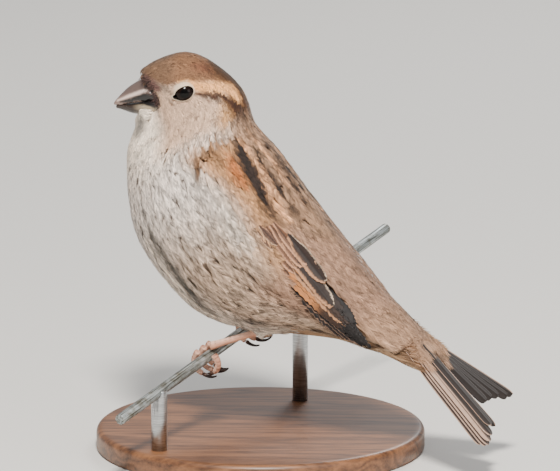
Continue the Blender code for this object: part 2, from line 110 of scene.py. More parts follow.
def bodySpot(place, angle, lift=0.0):
    # points on the body's own surface, mm: place counts sections, angle goes round from the back in degrees
    place, angle, lift = np.broadcast_arrays(place, np.radians(angle), lift)
    start = np.clip(np.floor(place).astype(int), 0, len(bodyRows) - 2)
    f = (place - start)[..., None]
    a, b = bodyRows[np.maximum(start - 1, 0)], bodyRows[start]
    c, d = bodyRows[start + 1], bodyRows[np.minimum(start + 2, len(bodyRows) - 1)]
    row = 0.5 * (2 * b + (c - a) * f + (2 * a - 5 * b + 4 * c - d) * f**2 + (3 * b - a - 3 * c + d) * f**3)
    s, z, lean, depth, width, turn, low = np.moveaxis(row, -1, 0)
    lean, turn = np.radians(lean), np.radians(turn)
    front = np.cos(turn)[..., None] * ahead + np.sin(turn)[..., None] * leftward
    side = np.cos(turn)[..., None] * leftward - np.sin(turn)[..., None] * ahead
    middle = headPivot + (s - stance["neckPivot"])[..., None] * front + z[..., None] * upward
    back = np.sin(lean)[..., None] * upward - np.cos(lean)[..., None] * front
    rise = (depth + lift) * np.cos(angle)
    reach = (width + lift) * np.sin(angle) * (1.0 - low * np.cos(angle))
    return middle + rise[..., None] * back + reach[..., None] * side


# A fine net over the body finds any point's place and angle, and which way the plumage lies there
netPlaces, netAngles = np.meshgrid(np.arange(-0.5, 18.6, 0.1), np.arange(-180.0, 180.0, 4.0), indexing="ij")
netPlaces, netAngles = netPlaces.ravel(), netAngles.ravel()
netPoints = bodySpot(netPlaces, netAngles)
netAlong = (bodySpot(netPlaces + 0.05, netAngles) - bodySpot(netPlaces - 0.05, netAngles)) / 0.1
netRound = (bodySpot(netPlaces, netAngles + 1.0) - bodySpot(netPlaces, netAngles - 1.0)) / 2.0
bodyNet = KDTree(len(netPoints))
for number, point in enumerate(netPoints):
    bodyNet.insert(point, number)
bodyNet.balance()


def bodyCoords(points):
    flat = points.reshape(-1, 3)
    near = np.array([bodyNet.find(p)[1] for p in flat])
    offset = flat - netPoints[near]
    along, turn = netAlong[near], netRound[near]
    place = netPlaces[near] + np.clip((offset * along).sum(1) / (along**2).sum(1), -0.1, 0.1)
    angle = netAngles[near] + np.clip((offset * turn).sum(1) / (turn**2).sum(1), -4.0, 4.0)
    angle = (angle + 180.0) % 360.0 - 180.0
    shape = points.shape[:-1]
    return place.reshape(shape), angle.reshape(shape), unit(along).reshape(points.shape)


def headCoords(points):
    offset = points - headPivot
    return offset @ headAhead + stance["neckPivot"], offset @ headLeft, offset[..., 2]


def headSpot(s, t, z):
    return headPivot + (s - stance["neckPivot"]) * headAhead + t * headLeft + z * upward


# Making meshes

def movePoints(mesh, points):
    # points in mm
    mesh.vertices.foreach_set("co", (np.asarray(points) * mm).astype(np.float32).ravel())
    mesh.update()


def meshOf(name, points, faces):
    # points in mm; faces an (n, 3) or (n, 4) array
    mesh = bpy.data.meshes.new(name)
    faces = np.asarray(faces, np.int32)
    count, corners = faces.shape
    mesh.vertices.add(len(points))
    mesh.loops.add(count * corners)
    mesh.loops.foreach_set("vertex_index", faces.ravel())
    mesh.polygons.add(count)
    mesh.polygons.foreach_set("loop_start", np.arange(0, count * corners, corners, dtype=np.int32))
    mesh.polygons.foreach_set("loop_total", np.full(count, corners, np.int32))
    mesh.polygons.foreach_set("use_smooth", np.full(count, True))
    movePoints(mesh, points)
    mesh.update(calc_edges=True)
    return mesh


def meshFrom(work, name):
    mesh = bpy.data.meshes.new(name)
    work.to_mesh(mesh)
    work.free()
    mesh.shade_smooth()
    return mesh


def addObject(name, data):
    thing = bpy.data.objects.new(name, data)
    bpy.context.scene.collection.objects.link(thing)
    return thing


def applied(name, mesh, modifiers):
    # the mesh with its modifiers applied; each is a kind and its settings
    holder = addObject(name, mesh)
    for kind, settings in modifiers:
        modifier = holder.modifiers.new(kind.title(), kind)
        for key, value in settings.items():
            setattr(modifier, key, value)
    bpy.context.view_layer.update()
    done = bpy.data.meshes.new_from_object(holder.evaluated_get(bpy.context.evaluated_depsgraph_get()))
    bpy.data.objects.remove(holder)
    done.name = name
    return done


def addPiece(name, mesh, material, slotName, *replaced):
    piece = addObject(name, mesh)
    piece.data.materials.clear()
    piece.data.materials.append(material)
    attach(piece, "root")
    if replaced:
        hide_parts(*replaced)
    return piece


def setColours(mesh, colours):
    layer = mesh.attributes.new("coat", "FLOAT_COLOR", "POINT")
    values = np.ones((len(colours), 4), np.float32)
    values[:, :3] = colours
    layer.data.foreach_set("color", values.ravel())


def setUnwrap(mesh, spots, faces):
    layer = mesh.uv_layers.new(name="OFBake")
    layer.data.foreach_set("uv", np.asarray(spots, np.float32)[np.asarray(faces).ravel()].ravel())


def coordinates(mesh):
    values = np.empty(len(mesh.vertices) * 3, np.float32)
    mesh.vertices.foreach_get("co", values)
    return values.reshape(-1, 3).astype(float) / mm


def normalsOf(mesh):
    values = np.empty(len(mesh.vertices) * 3, np.float32)
    mesh.vertex_normals.foreach_get("vector", values)
    return values.reshape(-1, 3).astype(float)


def tone(red, green, blue):
    # a paint from 0 to 255, deepened a little because the soft light pales it
    share = np.array([red, green, blue]) / 255.0
    return (np.where(share < 0.04045, share / 12.92, ((share + 0.055) / 1.055) ** 2.4)) ** 1.22


# Shells from the CAD's flesh

shells = {"gapFill": 0.26, "voxel": 0.62, "skinVoxel": 0.7}
fleshNodes = ["head", "neck", "trunk", "rump", "thigh_left", "thigh_right", "wing_left", "wing_right"]
eyeNodes = ["eye_left", "eye_right"]
coatNodes = fleshNodes + ["flight_left", "flight_right"] + eyeNodes + ["tail_left", "tail_right"]


def fusedMesh(name, members, voxel, rounds):
    work = bmesh.new()
    for member in members:
        part = bmesh.new()
        part.from_mesh(nodes[member].data)
        bmesh.ops.remove_doubles(part, verts=part.verts, dist=weld)
        part.normal_update()
        for vert in part.verts:
            vert.co += vert.normal * shells["gapFill"] * mm
        loose = meshFrom(part, "loose")
        work.from_mesh(loose)
        bpy.data.meshes.remove(loose)
    return applied(name, meshFrom(work, name), [
        ("REMESH", {"mode": "VOXEL", "voxel_size": voxel * mm}),
        ("SMOOTH", {"factor": 0.5, "iterations": rounds}),
    ])


def treeOf(mesh):
    points = [Vector(point) for point in coordinates(mesh)]
    return BVHTree.FromPolygons(points, [tuple(face.vertices) for face in mesh.polygons])


def onCoat(points):
    # the nearest spots on the coat's shell, and which way it faces there
    found = [coatTree.find_nearest(Vector(point)) for point in points]
    return np.array([f[0] for f in found]), np.array([f[1] for f in found])


heels = []
for sideName in ("left", "right"):
    bone = coordinates(nodes["tarsus_" + sideName].data)
    heels.append(bone[bone[:, 2] > bone[:, 2].max() - 1.5].mean(0))


def shellTrim(points, place, angle):
    # how far the middle of the coat rests inside the block model's outline, mm
    turn = np.abs(angle)
    back = np.interp(place, [7.0, 8.5, 12.0, 14.5, 16.5, 18.0], [0.0, 0.7, 1.4, 1.2, 0.5, 0.0])
    back = back * (1.0 - ease(30.0, 75.0, turn))
    belly = np.interp(place, [10.5, 12.5, 15.5, 17.5], [0.0, 0.7, 1.0, 0.0]) * ease(100.0, 135.0, turn)
    thigh = np.min([np.linalg.norm(points - heel, axis=-1) for heel in heels], axis=0)
    return 0.3 * ease(6.0, 8.0, place) + back + belly * ease(6.0, 9.0, thigh)


# The forehead's middle line, head coordinates in mm
foreheadLine = ([8.0, 11.4, 14.2, 17.1, 19.4, 21.0, 22.7, 24.1, 25.2, 26.4],
                [84.6, 84.0, 83.45, 82.55, 81.6, 80.8, 79.6, 78.3, 76.8, 74.6])

# The share of the block model's width that the face keeps, by head s in mm
faceTaper = ([14.5, 16.0, 18.0, 20.0, 22.0, 24.0], [1.0, 0.95, 0.80, 0.67, 0.58, 0.54])


def trimShell(mesh, depth):
    # depth gives how far inside the coat's rest this shell lies at a place, mm
    points, normals = coordinates(mesh), normalsOf(mesh)
    place, angle, _ = bodyCoords(points)
    deep = depth(place)
    points = points - normals * (shellTrim(points, place, angle) + deep)[:, None]
    # the corner over the bill is filled out, then all is held under the forehead's line
    s, t, z = headCoords(points)
    brow = ease(20.5, 22.5, s) * ease(75.0, 76.5, z) * (1.0 - ease(79.0, 81.5, z))
    chin = ease(20.0, 22.5, s) * ease(62.5, 65.0, z) * (1.0 - ease(67.2, 68.5, z))
    brow, chin = brow * (1.0 - ease(1.5, 4.0, np.abs(t))), chin * (1.0 - ease(3.0, 6.0, np.abs(t)))
    points = points + (1.3 * brow + 0.8 * chin)[:, None] * headAhead
    s, t, z = headCoords(points)
    level = np.interp(s, *foreheadLine)
    slope = (np.interp(s - 0.6, *foreheadLine) - np.interp(s + 0.6, *foreheadLine)) / 1.2
    over = (z - level + 0.035 * t**2) / np.hypot(1.0, slope) + 0.15 + deep
    over = 0.5 * (over + np.sqrt(over**2 + 0.1)) * ease(10.0, 13.0, s) * (place < 6.0)
    points = points - over[:, None] * unit(slope[:, None] * headAhead + upward)
    # the face narrows towards the bill
    s, t, z = headCoords(points)
    narrow = (1.0 - np.interp(s, *faceTaper)) * ease(56.0, 65.0, z) * (place < 6.0)
    movePoints(mesh, points - (narrow * t)[:, None] * headLeft)


coatMesh = fusedMesh("coatShell", coatNodes, shells["voxel"], 12)
trimShell(coatMesh, np.zeros_like)
coatTree = treeOf(coatMesh)
print("coat shell", len(coatMesh.polygons))

eyeMiddles = [np.array([(a + b) / 2 / mm for a, b in zip(*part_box(node))]) for node in eyeNodes]
eyeLook = {"radius": 3.1, "pupil": 1.25, "iris": 2.3, "forward": -5.0, "up": -1.0,
           "front": 1.27, "rear": 1.2, "top": 0.99, "bottom": 0.96}


def eyeAxis(sign):
    turn = math.radians(eyeLook["forward"])
    rise = math.radians(eyeLook["up"])
    flat = math.cos(turn) * sign * headLeft + math.sin(turn) * headAhead
    return unit(math.cos(rise) * flat + math.sin(rise) * upward)


def eyeFrame(sign):
    axis = eyeAxis(sign)
    return unit(headAhead - (headAhead @ axis) * axis), unit(upward - (upward @ axis) * axis), axis


def eyePlane(points, number):
    # distances ahead, up and out from an eye's middle, the first scaled as if the opening were round
    front, top, axis = eyeFrame(1.0 - 2.0 * number)
    offset = points - eyeMiddles[number]
    x = offset @ front
    return x / np.where(x > 0, eyeLook["front"], eyeLook["rear"]), offset @ top, offset @ axis


def coatDepth(place):
    # how far the skin lies inside the coat, mm
    deep = mix(0.55, 1.1, ease(1.0, 5.0, place))
    deep = mix(deep, 1.35, ease(5.5, 9.5, place))
    return mix(deep, 1.0, ease(15.0, 18.0, place))


skinMesh = fusedMesh("skin", fleshNodes, shells["skinVoxel"], 5)
trimShell(skinMesh, lambda place: coatDepth(place) + shells["gapFill"])


billWindow = {                                  # height and how far back the bill's bare side reaches, mm
    "height": [67.0, 67.5, 69.0, 72.4, 74.5, 77.4], "back": [23.2, 19.2, 18.3, 20.4, 21.6, 23.4],
}


def beside(s, z, soft, bottom=67.1):
    # 1 where the bill's side lies bare on the face
    back = np.interp(z, billWindow["height"], billWindow["back"])
    level = ease(bottom - soft, bottom, z) * (1.0 - ease(77.0, 77.4 + soft, z))
    return ease(-soft, soft, s - back) * level


def tuckSkin():
    # keeps the skin inside the coat, and draws it in where the bill's sides reach back along the face
    points = coordinates(skinMesh)
    spots, normals = onCoat(points)
    least = 0.75 * coatDepth(bodyCoords(points)[0])
    over = ((points - spots) * normals).sum(-1) > -least
    points[over] = (spots - normals * least[:, None])[over]
    s, t, z = headCoords(points)
    bare = np.interp(s, [18.2, 22.2], [4.9, 3.3])
    inward = beside(s, z, 0.5) * np.maximum(np.abs(t) - bare, 0.0)
    movePoints(skinMesh, points - (np.sign(t) * inward)[:, None] * headLeft)


tuckSkin()
print("skin", len(skinMesh.polygons))

# Markings, the same for skin and coat

paints = {
    "crown": tone(148, 112, 84), "forehead": tone(141, 112, 89), "rufous": tone(132, 91, 68),
    "rearCrown": tone(92, 64, 38), "brow": tone(245, 189, 133), "stripe": tone(84, 55, 37),
    "nape": tone(103, 68, 35), "cheek": tone(215, 185, 161), "cheekBack": tone(204, 160, 114),
    "lore": tone(160, 140, 124), "gapeAndShade": tone(42, 33, 31), "bristle": tone(118, 90, 84),
    "throat": tone(252, 238, 222),
    "breast": tone(234, 223, 214), "flank": tone(197, 174, 154), "belly": tone(240, 228, 214),
    "vent": tone(172, 142, 106), "mantle": tone(169, 138, 113), "streak": tone(58, 45, 39),
    "brace": tone(222, 173, 133), "scapular": tone(190, 148, 109), "ginger": tone(192, 125, 75),
    "fleck": tone(122, 92, 66), "rump": tone(174, 142, 120), "tailCovert": tone(182, 150, 124),
    "eyeRing": tone(232, 214, 192), "down": tone(112, 102, 94), "earGrey": tone(168, 148, 132),
    "shade": tone(102, 97, 90), "paleFlank": tone(214, 202, 190), "throatEdgeShade": tone(140, 134, 127),
}

# Strokes on the head run in its side view (ahead, height, half width in mm)
headStrokes = [
    ("rufous", 1.6, [(8.6, 80.4, 0.7), (6.0, 79.9, 1.3), (4.2, 79.2, 1.0)]),
    ("rearCrown", 1.2, [(4.2, 81.4, 1.0), (1.8, 79.4, 1.9), (-0.8, 77.5, 2.1), (-3.4, 75.2, 1.9),
                        (-5.4, 72.6, 1.3)]),
    ("brow", 0.7, [(12.8, 76.6, 0.3), (10.6, 76.6, 0.6), (8.4, 75.6, 1.1), (5.5, 74.9, 1.5),
                   (2.5, 74.6, 1.7), (0.0, 73.9, 1.8), (-2.4, 72.6, 1.8), (-4.4, 71.0, 1.4)]),
    ("earGrey", 0.9, [(6.6, 72.9, 0.4), (3.4, 72.5, 1.2), (0.4, 71.6, 1.6)]),
    ("stripe", 0.4, [(8.2, 73.5, 0.3), (4.6, 73.0, 0.6), (1.2, 72.4, 0.8), (-0.6, 71.3, 1.0),
                     (-1.9, 69.8, 1.4), (-3.2, 68.2, 2.2), (-4.0, 65.8, 2.2)]),
    ("stripe", 0.2, [(6.4, 72.5, 0.05), (3.2, 72.3, 0.16), (0.2, 71.6, 0.16)]),
    ("stripe", 0.2, [(5.6, 71.4, 0.05), (2.8, 71.2, 0.14), (0.4, 70.8, 0.12)]),
    ("cheekBack", 1.6, [(0.4, 69.6, 0.8), (-0.4, 66.5, 1.7), (0.0, 63.2, 1.6)]),
    ("lore", 0.8, [(19.6, 75.4, 0.9), (16.6, 74.4, 1.0), (14.6, 73.4, 0.4)]),
    ("bristle", 0.8, [(22.4, 77.2, 0.9), (20.6, 75.8, 1.2), (18.8, 74.4, 1.1)]),
    ("lore", 0.35, [(16.4, 72.4, 0.2), (15.0, 71.4, 0.35), (13.9, 70.3, 0.3)]),
    ("fleck", 0.3, [(15.2, 70.9, 0.15), (14.4, 70.2, 0.25)]),
    # near black at the corner of the mouth and in the hollow behind the bill's root: the gape's own dark and
    # painted shade
    ("gapeAndShade", 0.6, [(22.4, 74.4, 0.6), (21.0, 73.6, 1.0), (19.7, 72.0, 1.3), (19.0, 70.4, 1.2),
                   (19.0, 69.2, 0.6)]),
    # painted shade: a dark grey band down the throat's front edge, below the chin
    ("throatEdgeShade", 1.4, [(23.9, 66.4, 0.4), (23.6, 64.6, 1.3), (24.0, 62.8, 1.4), (25.0, 60.8, 0.8)]),
    # a dark line where the mandibles meet: painted shade in the crease, with the gape's own dark
    ("gapeAndShade", 0.4, [(24.2, 70.4, 1.1), (21.6, 70.4, 1.3), (19.6, 70.0, 1.1)]),
]
# Strokes on the back run over the sections (place, angle in degrees, half width in mm)
backStrokes = [
    ("nape", 3.0, [(6.4, 0.0, 7.0), (8.2, 0.0, 8.0)]),
    ("mantle", 2.5, [(8.6, 0.0, 11.0), (9.6, 0.0, 12.0), (11.0, 0.0, 12.0)]),
    ("streak", 0.7, [(8.9, 2.0, 0.3), (10.2, 4.0, 0.8), (11.3, 5.0, 0.4)]),
    ("brace", 0.7, [(8.2, 12.0, 0.4), (9.4, 12.0, 0.6), (10.6, 14.0, 0.4)]),
    ("streak", 0.7, [(9.0, 19.0, 0.4), (9.7, 24.5, 1.0), (10.3, 23.0, 1.0), (11.0, 22.5, 0.8),
                     (11.7, 22.5, 0.4)]),
    ("brace", 0.6, [(8.5, 26.0, 0.6), (9.3, 29.5, 1.1), (10.0, 30.5, 1.4), (10.9, 31.5, 1.4),
                    (11.6, 33.0, 0.7)]),
    ("ginger", 1.6, [(9.0, 44.0, 0.6), (9.5, 46.0, 1.6), (10.1, 47.0, 1.2)]),
    ("streak", 0.9, [(8.5, 31.0, 1.0), (9.2, 35.0, 1.8), (9.9, 36.5, 1.8), (10.6, 38.5, 1.5),
                     (11.3, 40.5, 0.8)]),
    # painted shade: a grey line down the side of the breast and belly, where the feathers part
    ("shade", 0.9, [(9.7, 121.5, 0.3), (10.9, 121.5, 0.9), (11.7, 121.7, 1.1), (12.5, 124.6, 1.0),
                    (13.4, 132.0, 0.6)]),
    ("throat", 0.7, [(9.9, 132.0, 0.3), (11.0, 131.5, 0.7), (11.9, 132.5, 0.8), (12.8, 138.0, 0.6)]),
    ("paleFlank", 2.2, [(10.4, 66.0, 0.8), (11.8, 68.0, 1.4)]),
    ("fleck", 1.0, [(8.3, 48.0, 0.6), (8.6, 56.0, 1.2), (8.7, 66.0, 1.0)]),
    ("fleck", 0.8, [(8.9, 69.0, 1.0), (9.4, 71.0, 0.6)]),
]
# The place and angle of the line between the back's browns and the flank
wingBorder = ([8.3, 9.0, 9.9, 10.8, 11.8, 12.6, 13.5], [75.0, 69.0, 60.0, 56.0, 57.0, 60.0, 64.0])
# The head s and z of the line under the cap
browLine = ([-6.0, -4.4, -2.4, 0.3, 3.0, 9.0, 13.0, 17.0, 23.0],
            [69.0, 71.5, 74.3, 75.7, 76.3, 76.6, 76.6, 75.5, 74.6])
planeScale = (7.0, 0.33)                        # mm for a section and for a degree, near enough for markings


def strokeMask(x, y, path, soft):
    gap = np.full(x.shape, 1e9)
    for (x0, y0, w0), (x1, y1, w1) in zip(path, path[1:]):
        dx, dy = x1 - x0, y1 - y0
        share = np.clip(((x - x0) * dx + (y - y0) * dy) / (dx * dx + dy * dy), 0.0, 1.0)
        gap = np.minimum(gap, np.hypot(x - x0 - share * dx, y - y0 - share * dy) - mix(w0, w1, share))
    return 1.0 - ease(-soft, soft, gap)


def paintOn(points):
    # the markings' colour at any points on the body
    place, angle, _ = bodyCoords(points)
    turn = np.abs(angle)
    s, _, z = headCoords(points)

    def lay(colour, name, mask):
        return mix(colour, paints[name], np.clip(mask, 0.0, 1.0)[..., None])

    colour = np.broadcast_to(paints["breast"], points.shape).copy()
    colour = lay(colour, "flank", ease(9.5, 12.5, place) * (1.0 - ease(105.0, 150.0, turn)))
    colour = lay(colour, "belly", ease(10.5, 13.0, place) * ease(110.0, 150.0, turn))
    colour = lay(colour, "vent", ease(14.6, 16.6, place) * ease(90.0, 130.0, turn))
    border = np.interp(place, *wingBorder)
    upper = (1.0 - ease(-8.0, 12.0, turn - border)) * ease(7.6, 8.6, place)
    colour = lay(colour, "scapular", upper)
    colour = lay(colour, "rump", (1.0 - ease(30.0, 62.0, turn)) * ease(10.8, 12.2, place))
    colour = lay(colour, "rump", ease(12.6, 13.6, place) * (1.0 - ease(70.0, 100.0, turn)))
    colour = lay(colour, "tailCovert", ease(15.4, 16.6, place) * (1.0 - ease(80.0, 110.0, turn)) * 0.7)
    x, y = place * planeScale[0], turn * planeScale[1]
    for name, soft, path in backStrokes:
        scaled = [(p * planeScale[0], a * planeScale[1], w) for p, a, w in path]
        colour = lay(colour, name, strokeMask(x, y, scaled, soft) * ease(5.5, 7.0, place))
    onHead = 1.0 - ease(7.0, 8.4, place + np.maximum(0.0, turn - 90.0) * 0.012)
    colour = lay(colour, "throat", (1.0 - ease(6.0, 9.5, place)) * ease(70.0, 110.0, turn))
    colour = lay(colour, "cheek", onHead * (1.0 - ease(88.0, 112.0, turn)))
    cap = ease(-0.6, 0.6, z - np.interp(s, *browLine)) * onHead
    colour = lay(colour, "crown", cap)
    colour = lay(colour, "forehead", cap * ease(12.0, 17.0, s))
    colour = lay(colour, "nape", onHead * (1.0 - ease(9.0, 17.0, turn)) * (1.0 - ease(-4.0, 0.0, s)))
    for name, soft, path in headStrokes:
        aside = ease(6.0, 12.0, turn) if name in ("brow", "stripe") else 1.0
        colour = lay(colour, name, strokeMask(s, z, path, soft) * onHead * aside)
    for middle in eyeMiddles:
        near = np.linalg.norm(points - middle, axis=-1)
        colour = lay(colour, "eyeRing", (1.0 - ease(3.05, 3.35, near)) * 0.8)
    return colour


# Feather templates, flat: across -1 to 1, along 0 to 1

def barbTemplate(seed, barbs, pieces, start, reach, width, loose, narrow=0.22):
    # a vane of separate barbs, pointed at their ends, over a plain inner strip
    draw = np.random.default_rng(seed)
    spots, tones, lifts, faces = [], [], [], []
    clumps = draw.uniform(-0.46, 0.26, (2, barbs // 3 + 2))

    def strip(path, halves, shade, lift):
        first = len(spots)
        path = np.array(path)
        scaled = path * (narrow, 1.0)
        way = unit(np.gradient(scaled, axis=0))
        across = np.stack([way[:, 1], -way[:, 0]], 1)
        for spot, side, half in zip(scaled[:-1], across, halves):
            for sign in (-1.0, 1.0):
                spots.append((spot + sign * half * side) / (narrow, 1.0))
                tones.append(shade)
                lifts.append(lift)
        spots.append(path[-1])
        tones.append(shade)
        lifts.append(lift)
        last = len(path) - 2
        for k in range(last):
            i = first + 2 * k
            faces.extend([(i, i + 1, i + 3), (i, i + 3, i + 2)])
        faces.append((first + 2 * last, first + 2 * last + 1, first + 2 * last + 2))

    strip([(0.0, 0.0), (0.0, 0.3), (0.0, 0.55), (0.0, 0.72)], [0.03, 0.12, 0.12], 0.9, -0.08)
    strip([(0.0, 0.1), (0.0, 0.6), (0.0, 1.0)], [0.010, 0.007], 1.0, 0.0)
    for side in (-1.0, 1.0):
        for i in range(barbs):
            share = (i + 0.5) / barbs
            root = start + (0.97 - start) * share
            rounding = math.sqrt(max(0.05, 1.0 - share**2.6))
            out = side * rounding * (1.0 + loose * draw.uniform(-0.5, 0.5))
            tip = min(root + reach * (1.0 - 0.45 * share) + loose * draw.uniform(-0.12, 0.12), 1.06)
            bend = draw.uniform(0.42, 0.58)
            path = []
            for k in range(pieces + 1):
                t = k / pieces
                path.append((
                    2.0 * t * (1.0 - t) * bend * out + t * t * out,
                    root + 2.0 * t * (1.0 - t) * 0.32 * (tip - root) + t * t * (tip - root),
                ))
            halves = [width * (1.0, 0.95, 0.7, 0.5)[min(k, 3)] for k in range(pieces)]
            clump = np.interp(i / 3.0, np.arange(clumps.shape[1]), clumps[int(side > 0)])
            shade = 1.0 + clump + draw.uniform(-0.14, 0.12)
            strip(path, halves, shade, draw.uniform(-0.07, 0.07) + 0.15 * clump)
    spots, faces = np.array(spots), np.array(faces)
    a, b, c = (spots[faces[:, k]] for k in range(3))
    turned = (b - a)[:, 0] * (c - a)[:, 1] - (b - a)[:, 1] * (c - a)[:, 0] < 0.0
    faces[turned] = faces[turned][:, ::-1]
    return {"spots": spots, "tones": np.array(tones), "faces": faces, "lift": np.array(lifts)}


templates = {
    "tiny": [barbTemplate(20 + k, 5, 2, 0.34, 0.46, 0.036, 0.8) for k in range(6)],
    "soft": [barbTemplate(40 + k, 13, 3, 0.30, 0.46, 0.0135, 0.8) for k in range(8)],
    "neat": [barbTemplate(60 + k, 14, 2, 0.32, 0.36, 0.0155, 0.4) for k in range(8)],
}

# Where the feathers stand

# Half width and spacing as shares of a feather's length, how much darker or paler a streaked one is, and
# the least share of its paint that one keeps
featherShape = {"half": 0.21, "spacing": 0.18, "darker": 0.26, "paler": 0.2, "darkest": 0.3}


def featherLength(place, points):
    # how long the feathers are at a place, mm
    face = ease(6.0, 17.0, headCoords(points)[0]) * (1.0 - ease(5.0, 7.5, place))
    length = mix(6.4, 2.9, 1.0 - ease(4.8, 8.6, place))
    length = mix(length, 1.8, face)
    length = mix(length, 8.2, ease(8.6, 12.0, place))
    length = mix(length, 10.0, ease(14.5, 17.0, place))
    for middle in eyeMiddles:
        length = mix(length, 1.2, 1.0 - ease(3.6, 6.0, np.linalg.norm(points - middle, axis=-1)))
    return length


def scatter(mesh, count, spacing, keep):
    # spread roots over a mesh, no two closer than their own spacing, with more tries where they stand close
    points = coordinates(mesh)
    mesh.calc_loop_triangles()
    corners = np.empty(len(mesh.loop_triangles) * 3, np.int32)
    mesh.loop_triangles.foreach_get("vertices", corners)
    a, b, c = (points[corners.reshape(-1, 3)[:, k]] for k in range(3))
    middles = (a + b + c) / 3.0
    weight = np.linalg.norm(np.cross(b - a, c - a), axis=1) / spacing(bodyCoords(middles)[0], middles) ** 2
    chosen = dice.choice(len(weight), count, p=weight / weight.sum())
    u, v = np.sqrt(dice.random((count, 1))), dice.random((count, 1))
    roots = (1.0 - u) * a[chosen] + u * (1.0 - v) * b[chosen] + u * v * c[chosen]
    place, angle, _ = bodyCoords(roots)
    fit = keep(roots, place, angle)
    roots = roots[fit]
    reach = spacing(place[fit], roots)
    tree = KDTree(len(roots))
    for i, root in enumerate(roots):
        tree.insert(root, i)
    tree.balance()
    free = np.ones(len(roots), bool)
    kept = []
    for i in range(len(roots)):
        if free[i]:
            kept.append(i)
            for spot in tree.find_range(roots[i], reach[i]):
                free[spot[1]] = False
    return roots[kept]


def lieAt(points, normals):
    # which way the plumage lies: along the body, and round the eyes
    lie = bodyCoords(points)[2]
    for middle in eyeMiddles:
        away = points - middle
        near = np.linalg.norm(away, axis=-1, keepdims=True)
        away = unit(away - (away * normals).sum(-1, keepdims=True) * normals)
        close = 1.0 - ease(3.8, 7.5, near)
        inward = np.minimum((lie * away).sum(-1, keepdims=True), 0.0)
        lie = lie - inward * away * close + 0.9 * away * close**2
    return unit(lie - (lie * normals).sum(-1, keepdims=True) * normals)


latticeSteps = 6


def lattice(roots, lengths, halves, swerve):
    # three lines of points under each feather: left edge, middle and right edge
    place, normal = onCoat(roots)
    rows = []
    for _ in range(latticeSteps):
        lie = lieAt(place, normal)
        side = np.cross(lie, normal)
        lie = unit(lie * np.cos(swerve)[:, None] + side * np.sin(swerve)[:, None])
        side = np.cross(lie, normal)
        left = onCoat(place - side * halves[:, None])[0]
        right = onCoat(place + side * halves[:, None])[0]
        rows.append((left, place, right, normal))
        place, normal = onCoat(place + lie * (lengths / (latticeSteps - 1))[:, None])
    return [np.stack([row[k] for row in rows], 1) for k in range(4)]


def overEyes(lines):
    # feathers whose blades would reach over an eyeball
    over = np.zeros(len(lines[0]), bool)
    for number in (0, 1):
        for line in lines:
            x, y, out = eyePlane(line.reshape(-1, 3), number)
            near = (np.hypot(x, y) < 2.12) & (out > -3.0)
            over |= near.reshape(line.shape[:2]).any(axis=1)
    return over


def growFeathers(kind, roots, options):
    # points, faces, colours and unwrap spots for one joined coat piece
    place = bodyCoords(roots)[0]
    usual = featherLength(place, roots)
    lengths = usual * dice.uniform(0.88, 1.14, len(roots))
    halves = usual * featherShape["half"] * dice.uniform(0.9, 1.1, len(roots)) * options.get("width", 1.0)
    swerve = np.radians(dice.normal(0.0, options.get("swerve", 6.0), len(roots)))
    grids = lattice(roots, lengths, halves, swerve)
    kept = ~overEyes(grids[:3])
    grids = [grid[kept] for grid in grids]
    middle = grids[1]
    pick = dice.random((len(middle), 1))
    gain = dice.normal(1.0, options.get("spread", 0.11), (len(middle), 1))
    gain = gain - featherShape["darker"] * (pick < options["streak"])
    gain = gain + featherShape["paler"] * (pick > 1.0 - options["streak"])
    colour = paintOn(middle[:, -2]) * np.maximum(gain, featherShape["darkest"])
    edge = paintOn(middle[:, -1]) * (0.35 + 0.65 * gain)
    return placeFeathers(kind, grids, lengths[kept], colour, edge, coatDepth(place[kept]),
                         skinSpots(roots[kept]), options)


bakePatch = 0.003                               # how far a feather's patch reaches over the unwrap


def placeFeathers(kind, grids, lengths, colour, edge, depth, unwrap, options):
    # grids: left edges, middles, right edges and normals of the feathers, latticeSteps points in each
    left, middle, right, normal = grids
    lifts = options.get("lift", 0.35) * lengths / 7.0
    points, faces, colours, spots = [], [], [], []
    first = 0
    kinds = dice.integers(0, len(templates[kind]), len(middle))
    for number, template in enumerate(templates[kind]):
        chosen = np.flatnonzero(kinds == number)
        if len(chosen) == 0:
            continue
        across, along = template["spots"].T
        step = np.clip(along, 0.0, 0.9999) * (latticeSteps - 1)
        low = np.floor(step).astype(int)
        share = (along * (latticeSteps - 1) - low)[None, :, None]

        def between(grid):
            grid = grid[chosen]
            return grid[:, low] + (grid[:, low + 1] - grid[:, low]) * share

        edgeLeft, centre, edgeRight = between(left), between(middle), between(right)
        a = across[None, :, None]
        spot = centre + a * (edgeRight - edgeLeft) / 2.0 + a * a * ((edgeRight + edgeLeft) / 2.0 - centre)
        rise = ease(0.0, 0.42, along)[None, :]
        height = -depth[chosen][:, None] * (1.0 - rise) + lifts[chosen][:, None] * (along[None, :] - 1.0)
        height = height + (template["lift"] * options.get("ruffle", 1.0) * ease(0.4, 0.9, along))[None, :]
        height = height - options.get("camber", 0.05) * lengths[chosen][:, None] / 5.0 * (across**2)[None, :]
        points.append((spot + height[..., None] * unit(between(normal))).reshape(-1, 3))
        inner = (ease(0.35, 0.9, np.abs(across)) * 0.5 + ease(0.7, 1.0, along) * 0.5)[None, :, None]
        shade = mix(colour[chosen][:, None, :], edge[chosen][:, None, :], inner)
        dark = 1.0 - options.get("contrast", 1.0) * (1.0 - template["tones"])
        root = ease(0.0, 0.5, along)[None, :, None]
        shade = mix(mix(shade, paints["down"], 0.25), shade * dark[None, :, None], root)
        colours.append(shade.reshape(-1, 3))
        patch = np.stack([across * 0.5, along], 1)[None] * bakePatch
        spots.append((unwrap[chosen][:, None, :] + patch).reshape(-1, 2))
        count = len(across)
        starts = first + np.arange(len(chosen)) * count
        faces.append((template["faces"][None] + starts[:, None, None]).reshape(-1, 3))
        first += count * len(chosen)
    return np.concatenate(points), np.concatenate(faces), np.concatenate(colours), np.concatenate(spots)


# Materials

